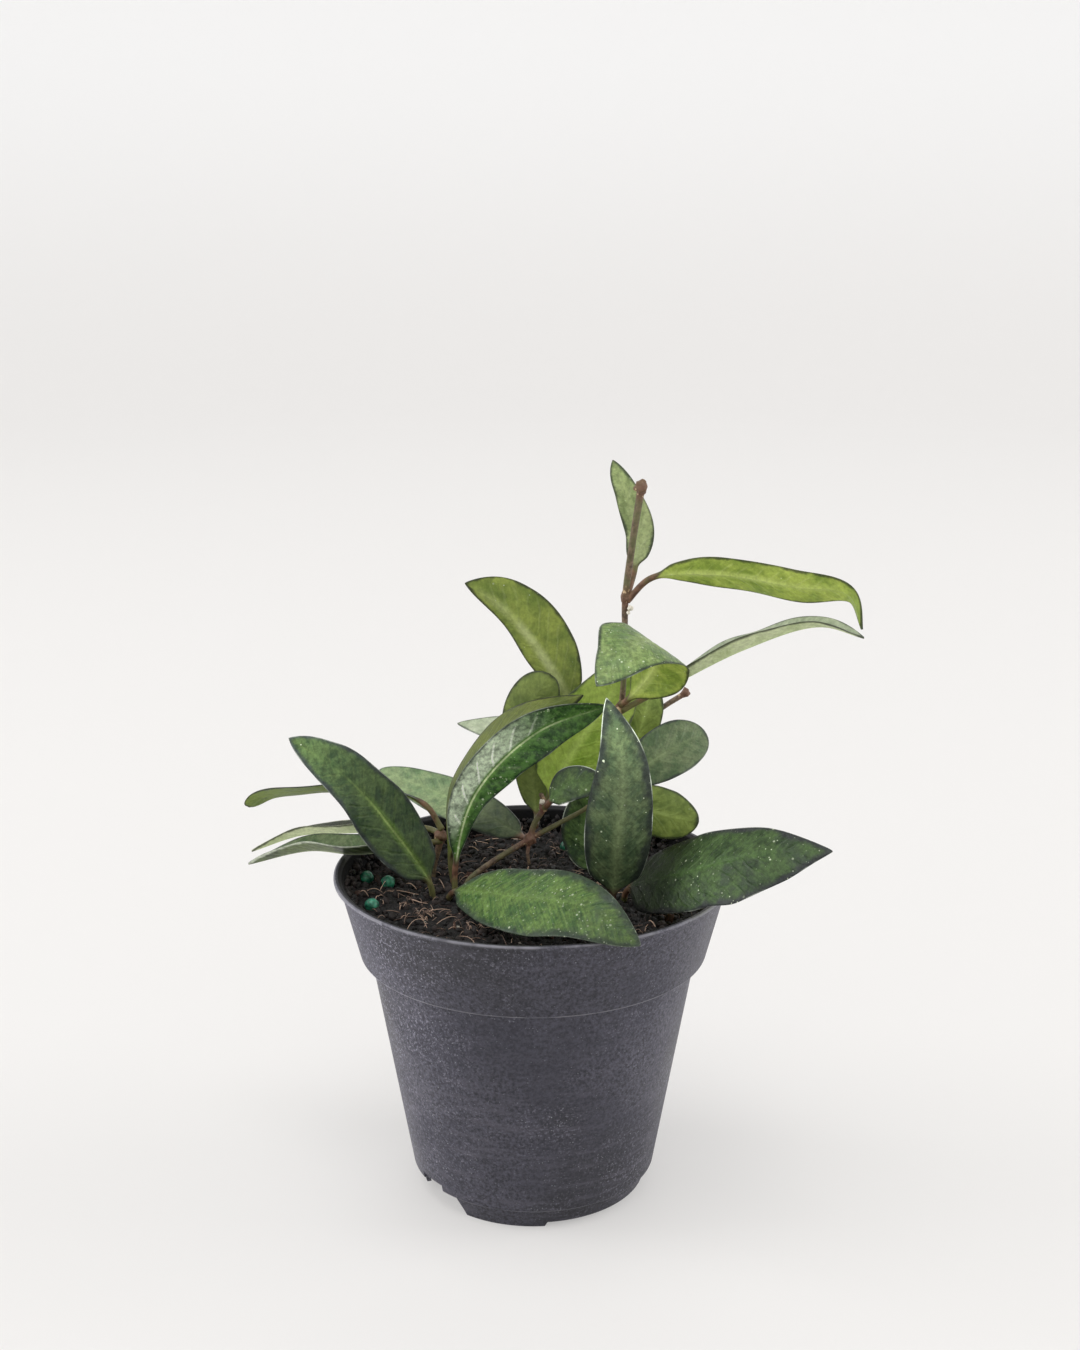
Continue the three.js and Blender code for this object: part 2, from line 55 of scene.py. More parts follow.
# Driving dimensions of the pot, in millimetres
POT_HEIGHT = 88
RIM_RADIUS = 52.5
RIM_LIP_DEPTH = 1
RIM_INNER_RADIUS = 51.3
BAND_TOP_RADIUS = 51.2
BAND_BOTTOM_RADIUS = 45.9
BAND_BOTTOM = 66.5
BODY_TOP_RADIUS = 43.3
BODY_BOTTOM_RADIUS = 32.7
WALL = 1.2
FLOOR_TOP = 6.2
FLOOR_UNDERSIDE = 4.8
FOOT_TOP = 5.8
FOOT_TOP_RADIUS = 31.4
FOOT_BOTTOM_RADIUS = 29.8
FOOT_INNER_RADIUS = 28.6
FOOT_RELIEF = 1.4
DRAIN_SLOT_TOP = 7.8
DRAIN_SLOT_BOTTOM = 2
DRAIN_SLOT_INNER_RADIUS = 28.4
DRAIN_NOTCH_TOP = 5
CUT_INNER_RADIUS = 26
CUT_OUTER_RADIUS = 36
CUT_BOTTOM = -1

# Sectors of the foot ring, in degrees from the front towards +X, and how far the ends of the cuts slope
SHORT_FOOT = [(7, 95), (171, 200), (248, 291)]
DRAIN_NOTCHES = [(-69, -41), (143, 171)]
DRAIN_SLOT_HALF_ANGLE = 8
RELIEF_SLOPE = 3
NOTCH_SLOPE = 6

# How fine the pot is: its sides, the steps along a cut and round a corner, and its sharp edges in degrees
POT_SIDES = 240
CUT_STEPS = 10
CORNER_STEPS = 3
SHARP_ANGLE = 38

# Soil and what lies on it, in millimetres
SOIL_LEVEL = 81.3
SOIL_EDGE = 47.6
GAP = 0.3
BANK_TOP = 85.6
BEAD_RADIUS = 1.9
BEAD_LIFT = 0.8
BEADS = [(-44.8, 8.5), (-38.8, 5), (-41.8, -11.2), (9.5, 32.8)]

# How many loose bits there are of each kind, and the points along a fibre
CRUMBS = 3200
BANKED_CRUMBS = 1300
BARK_BITS = 70
PERLITE_BITS = 60
FIBRES = 540
FIBRE_POINTS = 6

# Tufts of coir on the soil: place, spread in x and y, and number of fibres
TUFTS = [(-28, -17.5, 3, 1.5, 26), (-15, -27, 3.4, 1.4, 26), (-32, -10.6, 1.8, 1.2, 10),
         (7, 31, 1.4, 1.4, 10)]

# Leaves and stems, in millimetres
LEAF_THICKNESS = 0.8
LEAST_HALF_WIDTH = 0.35
CREASE_ABOVE = 0.16
CREASE_BELOW = 0.24
RUFFLE = 0.28
QUILT = 0.035
PETIOLE_RADIUS = 0.8
STEM_VOXEL = 0.2

# How fine a leaf is: steps across it, and rings along its blade and along its petiole
ACROSS_STEPS = 36
BLADE_STATIONS = 84
PETIOLE_STATIONS = 12

# Lateral veins: how far apart they are at the midrib in mm, and how far they run on for each mm across
VEINS_APART = 4.2
VEIN_LEAN = 1.1

# A cup in radians that stands for none, so that nothing is divided by 0
NEARLY_FLAT = 1e-4

# Each leaf has the finishes of its upper and lower face, its width in mm and the way its upper face looks.
# Some have a fold and a cup of their halves in degrees, a wave and a quilt in mm, their own narrowing to
# base and tip, shares of the half-width at even steps from base to tip for their two margins, and how
# bright they are painted at such steps, for their tone and as painted light and shade. The midrib runs from
# the stem through the blade's base, which is its second point, to the tip.
LEAVES = [
    dict(name="leaf_left_front", slot="leaf_dark_green", upper="deep", under="olive", width=17,
         facing=(0.35, -0.9, 0.35), fold=4, cup=4, wave=1,
         plus=(1, 1, 1, 0.9, 1.05, 1.3), minus=(1, 1, 0.92, 0.86, 0.9, 1), tone_and_painted_light=(0.82, 1.2, 2.8),
         midrib=[(-26.5, -2, 78), (-27, -4, 85), (-36.5, -6, 101), (-47.5, -9, 116), (-61.5, -13, 128)]),
    dict(name="leaf_left_upper", slot="leaf_olive", upper="deep", under="fresh", width=14,
         facing=(0, 0.45, 0.89), tip=0.35, tone_and_painted_light=(0.9, 0.9),
         midrib=[(-24.5, 12, 94.5), (-29, 14, 101), (-40, 19, 103.5), (-64, 25, 101.5), (-74.5, 28, 99),
                 (-79, 29, 95.5)]),
    dict(name="leaf_left_middle", slot="leaf_olive", upper="painted_trough_shade", under="pale", width=11,
         facing=(0, 0.19, 0.98), fold=27, tone_and_painted_light=(1.3, 1.3),
         midrib=[(-25, 12, 93.5), (-29.5, 18, 93), (-50.5, 28, 88.5), (-65.5, 34, 85.5), (-80, 37, 79.5)]),
    dict(name="leaf_left_lower", slot="leaf_grey_green", upper="grey", under="dull_painted_shade", width=13,
         facing=(-0.1, 0.1, 1), fold=34,
         midrib=[(-25, 12, 91.5), (-29, 7, 92.5), (-46.5, 8, 89.5), (-61, 16, 87.5), (-79, 24, 80.5)]),
    dict(name="leaf_left_back", slot="leaf_dark_green", upper="grey", under="olive", width=13,
         facing=(-0.1, -0.6, 0.8), tip=0.6, tone_and_painted_light=(0.62, 0.66, 1.9, 2.1, 2.1),
         midrib=[(-1.5, 4, 94), (-2.5, 10, 93), (-14, 19, 97), (-27, 28, 100), (-43, 34, 104.5)]),
    dict(name="leaf_arch_back", slot="leaf_olive", upper="bright", under="olive", width=15,
         facing=(0.5, 0.5, -0.5), fold=20, base=0.8, tone_and_painted_light=(0.38, 0.44),
         midrib=[(-20.5, 6, 78), (-22, 6, 87), (-20.5, 5, 107.5), (-5.5, 2, 127.5), (13, 0, 135.5)]),
    dict(name="leaf_arch_front", slot="leaf_dark_green", upper="veined", under="olive", width=14.5,
         facing=(0.4, -0.8, 0.2), fold=10, cup=5, base=0.9, tip=0.7, quilt=0.14,
         plus=(0.6, 0.6, 0.85, 1, 1), minus=(1, 1.1, 1.1, 1), tone_and_painted_light=(1.25, 1.5, 1.2),
         midrib=[(-20.5, -1, 78), (-20.5, -1, 89), (-15, -4, 110), (1, -8, 128), (18.5, -8, 135)]),
    dict(name="leaf_centre_front", slot="leaf_dark_green", upper="steel", under="olive", width=17.5,
         facing=(0, -1, 0.1), fold=-6, cup=-10, base=0.45, tip=0.85, tone_and_painted_light=(1.35, 1.65, 4.1),
         midrib=[(20.5, -13, 78), (20.5, -15, 86), (21.5, -20, 106), (22, -22, 125), (18, -22, 141)]),
    dict(name="leaf_rim_front", slot="leaf_bright_green", upper="bright", under="olive", width=19.5,
         facing=(0.1, -0.7, 0.7), base=0.75, tip=0.75,
         plus=(1, 1, 1.05, 1.15, 1.15, 1.1), minus=(1, 0.97, 0.93, 0.93, 0.9, 0.8),
         tone_and_painted_light=(1.12, 0.97, 0.58),
         midrib=[(-23, -3, 78.5), (-21, -7, 84), (-4, -29, 91.5), (12.5, -44, 94.5), (25.5, -52.5, 88.5)]),
    dict(name="leaf_right_front", slot="leaf_dark_green", upper="forest", under="olive", width=21,
         facing=(0.1, -0.68, 0.72), fold=-3, cup=-5, base=0.5,
         plus=(1, 1, 1, 1.08, 1.4, 1.4, 1), minus=(1, 1, 1.05, 1.1, 1), tone_and_painted_light=(0.3, 0.36, 1.45, 1.2, 1.12),
         midrib=[(23.5, -5, 78), (24.5, -7, 84.5), (39, -27, 97.5), (55.5, -39, 106.5), (71.5, -44, 109)]),
    dict(name="leaf_right_middle", slot="leaf_grey_green", upper="grey", under="olive", width=14.5,
         facing=(0.2, -0.8, 0.6), tip=0.45, tone_and_painted_light=(1.02, 1.02),
         midrib=[(19.5, 6, 108.5), (23.5, 4, 110.5), (32, 8, 115.5), (40.5, 13, 119), (46.5, 17, 120)]),
    dict(name="leaf_right_lower", slot="leaf_olive", upper="forest", under="deep_under", width=14.5,
         facing=(-0.1, 0.9, 0.1), cup=10, tip=0.55, tone_and_painted_light=(1.8, 1.8),
         midrib=[(19, 6, 108), (21.5, 1, 106.5), (28.5, 1, 104.5), (36.5, 1, 102), (43.5, 0, 101)]),
    dict(name="leaf_top_left", slot="leaf_olive", upper="deep", under="banded", width=16,
         facing=(0.2, 0.9, -0.1), fold=10,
         plus=(0.8, 0.6, 0.5, 0.6), minus=(1.05, 1.25, 1.4, 1.6), tone_and_painted_light=(0.68, 0.82),
         midrib=[(18.5, 25, 97), (10.5, 21, 126.5), (2.5, 26, 139.5), (-7.5, 30, 151), (-18.5, 33, 158)]),
    dict(name="leaf_centre_left", slot="leaf_olive", upper="grey", under="deep_under", width=16,
         facing=(0, 0.9, 0.2), cup=10, base=0.7, tip=0.45,
         plus=(1, 0.8, 0.9, 1), minus=(1, 0.9, 1, 1), tone_and_painted_light=(1.3, 1.3),
         midrib=[(0.5, 4, 98.5), (1, 10, 99), (0, 13, 111.5), (-1, 16, 126.5), (4.5, 18, 136.5)]),
    dict(name="leaf_back_left", slot="leaf_grey_green", upper="silver", under="pale", width=11,
         facing=(0, -0.5, 0.8), fold=5, tone_and_painted_light=(1.4, 1.4),
         midrib=[(15, 25, 87.5), (11.5, 23, 111.5), (2, 27, 115.5), (-9, 31, 117), (-21, 34, 118)]),
    dict(name="leaf_folded", slot="leaf_bright_green", upper="frosted", under="olive", width=20,
         facing=(0.35, -0.25, 0.9), base=0.9,
         plus=(1, 1, 0.9, 0.8, 0.85, 1.1, 0.85, 0.8), minus=(1, 1.25, 1.1, 1, 1, 1), tone_and_painted_light=(1.22, 1.22),
         midrib=[(22.5, 0, 133), (24, -2, 134.5), (30.5, -6, 143.5), (29.5, -17, 153.5), (22.5, -29, 155),
                 (15, -37, 148)]),
    dict(name="leaf_centre_back", slot="leaf_olive", upper="deep", under="fresh", width=20,
         facing=(0.1, 0.9, 0.1), fold=5, tone_and_painted_light=(1.7, 1.1),
         midrib=[(3, 4, 104), (4, 5, 106), (12, 8, 120.5), (20, 11, 131.5), (26.5, 14, 143.5)]),
    dict(name="leaf_centre_right", slot="leaf_olive", upper="deep", under="deep_under", width=10.5,
         facing=(0, 0.95, 0.1), tone_and_painted_light=(2.4, 2.4),
         midrib=[(27, 25, 111.5), (27.5, 21, 114), (29, 20, 121.5), (30.5, 19, 129), (30, 19, 136.5)]),
    dict(name="leaf_centre_small", slot="leaf_dark_green", upper="shade", under="olive", width=9.5,
         facing=(0, -0.85, 0.5), tone_and_painted_light=(2.3, 2.3),
         midrib=[(3, 3, 104), (4.5, -1, 107), (8.5, -3, 112), (14, -6, 114), (19.5, -8, 114)]),
    dict(name="leaf_centre_shaded", slot="leaf_dark_green", upper="shade", under="deep_under", width=14,
         facing=(0, -1, 0.2), tone_and_painted_light=(3.4, 3.4),
         midrib=[(19, 8, 78), (18.5, 9, 83.5), (15.5, 11, 90.5), (14, 12, 98.5), (15, 13, 107)]),
    dict(name="leaf_right_top", slot="leaf_olive", upper="deep", under="olive", width=13,
         facing=(0, 0.83, 0.56), fold=4, base=0.8, plus=(1, 1, 0.92, 0.85, 0.9, 1), tone_and_painted_light=(1.4, 1.35),
         midrib=[(24, 0, 160.5), (30, -3, 167), (46, -12, 170), (63.5, -22, 169), (75.5, -30, 168.5),
                 (78, -34, 161)]),
    dict(name="leaf_right_upper", slot="leaf_olive", upper="silver", under="pale", width=11.5,
         facing=(-0.1, -0.1, 1), fold=36, minus=(1, 0.95, 0.75, 0.72, 0.9), tone_and_painted_light=(1.22, 1.22),
         midrib=[(23, 1.5, 131), (34.5, -2, 138.5), (52.5, -14, 151.5), (69, -26, 160), (78.5, -34, 159)]),
    dict(name="leaf_top", slot="leaf_olive", upper="deep", under="dusty", width=9.2,
         facing=(0, 0.95, 0.1), fold=-15, plus=(1, 0.75, 0.75, 1.2), minus=(1, 1, 0.95, 1),
         tone_and_painted_light=(1, 1.1, 1.5),
         midrib=[(24, 0, 162), (26, 4, 168), (27, 8, 176), (23.5, 11, 187), (20.5, 13, 194.5)]),
]

# Each stem is one or more runs of points with a radius, and its knots with a radius, in mm
STEMS = [
    dict(name="stem_main",
         runs=[[(-18.5, 3, 78, 0.8), (-17.5, 3, 83, 0.8), (-1.5, 4, 94.5, 0.8), (7, 5, 99, 0.65),
                (15, 6, 103.5, 0.65), (19.5, 6, 109, 0.7), (22, 3, 126.5, 0.75), (23, 1, 134, 0.8),
                (23.5, 0, 147.5, 0.7), (23.5, 0, 161, 0.9), (25, -1, 175, 0.9), (27, -3, 190, 1)],
               [(-1, 4, 95, 0.9), (0.5, 4, 99.5, 0.8), (3, 3, 104.5, 0.8), (2, 3, 108, 0.6)],
               [(-1, 4, 94, 0.6), (-1.5, 3, 91, 0.5), (-1, 3, 88, 0.45)]],
         knots=[(-1, 4, 94.8, 1.6), (2.9, 3, 104.3, 1.2), (19.5, 6, 108.5, 1.2), (22.5, 2, 131.5, 1.3),
                (23.6, 0, 161.5, 1.4), (27, -3, 190, 1.6)]),
    dict(name="stem_left",
         runs=[[(-27.5, 12, 77.5, 0.9), (-27, 12, 84, 0.9), (-25.5, 12, 89.5, 0.9), (-24.5, 12, 94.5, 0.9)]],
         knots=[(-25, 12, 92.8, 1.7)]),
    dict(name="stem_back",
         runs=[[(11, 24, 77.5, 0.9), (15.5, 25, 91.5, 0.9), (25, 25, 108.5, 0.8), (33, 25, 123, 0.7),
                (41.5, 26, 129, 0.8)]],
         knots=[(41.5, 26, 129, 1.2), (15.5, 25, 90, 1.2), (26.5, 25, 111, 1.2)]),
]

# Dried sap on the stems: place and radius in mm
SAP_DROPS = [(24.7, -1.1, 158.7, 0.75), (24.2, -1.3, 157.6, 0.45), (2.4, 2, 105.9, 0.7),
             (3.2, 2, 104.7, 0.5)]

# What the finish of a leaf starts from: how strongly its lateral veins, midrib and edge line show, how far
# apart the veins are in mm, the width in mm of its dark margin and of the brighter zone along its midrib,
# the share of pale spots, its roughness, the colour of a painted sheen (a pale patch of painted highlight)
# on one half, the share of lateral streaks in its mottling, how deep its grain is, its patches per metre,
# how far its veins wander, where its midrib has faded (as a share of the blade) and how strong a soft pale
# band along the midrib is
PLAIN_UPPER = dict(veins=0.1, apart=VEINS_APART, rib=0.4, line=0.35, band=1.1, zone=2.6, spots=0.1,
                   rough=0.42, painted_sheen=None, streaks=0.2, grain=0.34, patches=220, wander=1.1, reach=1, soft=0)
PLAIN_UNDER = {**PLAIN_UPPER, "band": 0.75, "line": 0, "rough": 0.5, "spots": 0.12, "streaks": 0.12,
               "grain": 0.17, "patches": 105, "soft": 0.25}

# Finishes of upper and of lower faces, as the screen shows them: two greens that mix, the zone along the
# midrib, the midrib itself and the margin, then what differs from the plain face
UPPER_FINISHES = {
    "deep": dict(first=(39, 58, 35), second=(67, 85, 50), glow=(90, 116, 46), mid=(138, 156, 92),
                 margin=(44, 48, 52), rib=0.7, band=1.2, veins=0.05, reach=0.72),
    "forest": dict(first=(38, 56, 31), second=(63, 84, 46), glow=(64, 90, 45), mid=(87, 108, 66),
                   margin=(40, 40, 46), rib=0.1, band=1.6, spots=0.28, veins=0.03),
    "steel": dict(first=(52, 68, 46), second=(78, 92, 62), glow=(92, 106, 72), mid=(112, 125, 90),
                  margin=(30, 34, 36), rib=0.2, band=2.5, zone=3.2, spots=0.2, line=0.8, veins=0.03),
    "shade": dict(first=(28, 42, 25), second=(54, 70, 38), glow=(56, 76, 40), mid=(78, 98, 56),
                  margin=(28, 32, 32), rib=0.2, spots=0.26, line=0.5),
    "grey": dict(first=(76, 96, 65), second=(106, 120, 86), glow=(107, 124, 85), mid=(138, 150, 109),
                 margin=(48, 54, 52), band=0.7, veins=0.08, grain=0.22),
    "silver": dict(first=(139, 150, 124), second=(164, 172, 148), glow=(166, 174, 146), mid=(176, 182, 154),
                   margin=(56, 62, 58), band=0.5, grain=0.16),
    "bright": dict(first=(60, 92, 46), second=(102, 130, 66), glow=(104, 132, 66), mid=(120, 142, 86),
                   margin=(50, 62, 54), rib=0.12, band=2.2, spots=0.5, veins=0.1, streaks=0.42),
    "frosted": dict(first=(84, 110, 60), second=(122, 142, 86), glow=(138, 154, 102), mid=(138, 156, 98),
                    margin=(40, 50, 42), rib=0.15, band=0.9, zone=5, spots=0.42, veins=0.04, streaks=0.3),
    # The veined face has a painted sheen, a pale patch of painted highlight, on one half
    "veined": dict(first=(34, 62, 29), second=(62, 94, 44), glow=(86, 124, 56), mid=(190, 202, 158),
                   margin=(32, 40, 34), rib=0.85, band=0.8, spots=0.46, rough=0.36, veins=0.12,
                   painted_sheen=(200, 212, 188), grain=0.3, apart=6.4, wander=0.3, reach=1.1, patches=380),
    # Painted shade: this face is near black for the shade in the fold between the leaf's halves
    "painted_trough_shade": dict(first=(34, 38, 26), second=(50, 56, 36), glow=(36, 40, 28), mid=(60, 64, 44),
                   margin=(180, 184, 162), band=0.5, spots=0.3),
}
# The lower faces' bright greens are partly their own colour and partly painted light that shines through the
# leaf
UNDER_FINISHES = {
    "olive": dict(first=(110, 130, 52), second=(150, 165, 76), glow=(150, 165, 78), mid=(190, 200, 132),
                  margin=(32, 36, 28), rib=0.2),
    "banded": dict(first=(108, 128, 50), second=(150, 165, 74), glow=(156, 170, 84), mid=(196, 206, 142),
                   margin=(32, 36, 28), rib=0.3, soft=0.8),
    "dusty": dict(first=(108, 124, 76), second=(150, 162, 112), glow=(142, 156, 100), mid=(170, 180, 138),
                  margin=(40, 48, 38), rib=0.3, spots=0.3, grain=0.24),
    "fresh": dict(first=(108, 132, 48), second=(136, 156, 70), glow=(142, 162, 78), mid=(166, 182, 104),
                  margin=(42, 48, 40), rib=0.2),
    "deep_under": dict(first=(83, 98, 48), second=(111, 125, 64), glow=(113, 128, 66), mid=(136, 150, 86),
                       margin=(34, 38, 32), rib=0.2),
    "pale": dict(first=(156, 170, 118), second=(182, 192, 150), glow=(178, 192, 142), mid=(196, 206, 166),
                 margin=(30, 34, 24), rib=0.4),
    # Painted shade: this face is dark for a near half that tilts away from the light
    "dull_painted_shade": dict(first=(56, 68, 44), second=(100, 114, 76), glow=(150, 162, 126), mid=(196, 204, 176),
                 margin=(200, 208, 188), rib=0.8, zone=1.6, grain=0.3),
}
LOOKS = {name: {**PLAIN_UPPER, **finish} for name, finish in UPPER_FINISHES.items()}
LOOKS.update((name, {**PLAIN_UNDER, **finish}) for name, finish in UNDER_FINISHES.items())


def linear(colour):
    """A colour given as the screen shows it, 0 to 255, as linear light with full opacity"""
    parts = [c / 255 for c in colour]
    return tuple(c / 12.92 if c <= 0.04045 else ((c + 0.055) / 1.055) ** 2.4 for c in parts) + (1,)


class Shader:
    """Builds one node material; most methods add nodes and give the socket that they put out"""

    def __init__(self, name):
        self.material = bpy.data.materials.new(name)
        self.material.use_nodes = True
        self.nodes = self.material.node_tree.nodes
        self.links = self.material.node_tree.links
        self.nodes.clear()
        self.surface = self.nodes.new("ShaderNodeBsdfPrincipled")
        output = self.nodes.new("ShaderNodeOutputMaterial")
        self.links.new(self.surface.outputs[0], output.inputs["Surface"])

    def feed(self, socket, value):
        """Links a socket's source, or sets its value"""
        if isinstance(value, bpy.types.NodeSocket):
            self.links.new(value, socket)
        else:
            socket.default_value = value

    def place(self, stretch=(1, 1, 1)):
        """The row frame's coordinates in metres, times a stretch for each axis"""
        node = self.nodes.new("ShaderNodeMapping")
        node.inputs["Scale"].default_value = stretch
        self.links.new(self.nodes.new("ShaderNodeTexCoord").outputs["Object"], node.inputs["Vector"])
        return node.outputs["Vector"]

    def coordinate(self, axis):
        """One coordinate in millimetres; Z is the height above the ground"""
        node = self.nodes.new("ShaderNodeSeparateXYZ")
        self.links.new(self.nodes.new("ShaderNodeTexCoord").outputs["Object"], node.inputs[0])
        return self.product(node.outputs[axis], 1 / METRES)

    def from_axis(self):
        """The distance from the pot's axis in millimetres"""
        squares = [self.math("POWER", self.coordinate(axis), 2) for axis in "XY"]
        return self.math("SQRT", self.math("ADD", *squares))

    def attribute(self, name):
        node = self.nodes.new("ShaderNodeAttribute")
        node.attribute_name = name
        return node.outputs["Fac"]

    def noise(self, scale, detail=3, roughness=0.5, stretch=(1, 1, 1)):
        node = self.nodes.new("ShaderNodeTexNoise")
        node.inputs["Scale"].default_value = scale
        node.inputs["Detail"].default_value = detail
        node.inputs["Roughness"].default_value = roughness
        self.links.new(self.place(stretch), node.inputs["Vector"])
        return node.outputs["Fac"]

    def streaks(self, first, second):
        """Noise over two numbers, each about one patch long for each step of 1"""
        point = self.nodes.new("ShaderNodeCombineXYZ")
        self.feed(point.inputs["X"], first)
        self.feed(point.inputs["Y"], second)
        node = self.nodes.new("ShaderNodeTexNoise")
        node.inputs["Scale"].default_value = 1
        node.inputs["Detail"].default_value = 3
        self.links.new(point.outputs["Vector"], node.inputs["Vector"])
        return node.outputs["Fac"]

    def scaled(self, colour, factor):
        """A colour made brighter or darker"""
        node = self.nodes.new("ShaderNodeVectorMath")
        node.operation = "SCALE"
        self.feed(node.inputs[0], colour)
        self.feed(node.inputs["Scale"], factor)
        return node.outputs["Vector"]

    def spots(self, scale, size, share):
        """Round spots: cells per metre, the spot's share of its cell, and the share of cells with one"""
        node = self.nodes.new("ShaderNodeTexVoronoi")
        node.inputs["Scale"].default_value = scale
        self.links.new(self.place(), node.inputs["Vector"])
        chosen = self.smooth(node.outputs["Color"], 1 - share, 1 - share * 0.6)
        return self.product(self.smooth(node.outputs["Distance"], size, size * 0.5), chosen)

    def math(self, operation, first, second=0.0, third=0.0):
        node = self.nodes.new("ShaderNodeMath")
        node.operation = operation
        for socket, value in zip(node.inputs, (first, second, third)):
            self.feed(socket, value)
        return node.outputs[0]

    def product(self, first, *others):
        """Some values multiplied"""
        for other in others:
            first = self.math("MULTIPLY", first, other)
        return first

    def smooth(self, value, low, high, to_low=0.0, to_high=1.0):
        """value as it goes smoothly from low to high, also where low is above high"""
        node = self.nodes.new("ShaderNodeMapRange")
        node.interpolation_type = "SMOOTHSTEP"
        self.feed(node.inputs["Value"], value)
        if low > high:
            low, high, to_low, to_high = high, low, to_high, to_low
        for name, bound in (("From Min", low), ("From Max", high), ("To Min", to_low), ("To Max", to_high)):
            node.inputs[name].default_value = bound
        return node.outputs["Result"]

    def mix(self, share, first, second):
        """Two colours mixed by a share; a colour is a socket or is given as the screen shows it"""
        node = self.nodes.new("ShaderNodeMix")
        node.data_type = "RGBA"
        self.feed(node.inputs["Factor"], share)
        colours = [socket for socket in node.inputs if socket.type == "RGBA"]
        for socket, colour in zip(colours, (first, second)):
            self.feed(socket, linear(colour) if isinstance(colour, tuple) else colour)
        return next(socket for socket in node.outputs if socket.type == "RGBA")

    def coat(self, colour, cover, *shares):
        """A colour with another over it, by the product of some shares"""
        return self.mix(self.product(*shares), colour, cover)

    def bump(self, height, distance, strength=1.0, normal=None):
        """Relief in metres"""
        node = self.nodes.new("ShaderNodeBump")
        node.inputs["Distance"].default_value = distance
        node.inputs["Strength"].default_value = strength
        self.feed(node.inputs["Height"], height)
        if normal is not None:
            self.links.new(normal, node.inputs["Normal"])
        return node.outputs["Normal"]

    def finish(self, colour, roughness, normal=None, **constants):
        """Feeds the surface, and gives the material"""
        self.feed(self.surface.inputs["Base Color"], colour)
        self.feed(self.surface.inputs["Roughness"], roughness)
        if normal is not None:
            self.links.new(normal, self.surface.inputs["Normal"])
        for name, value in constants.items():
            self.surface.inputs[name.replace("_", " ")].default_value = value
        return self.material


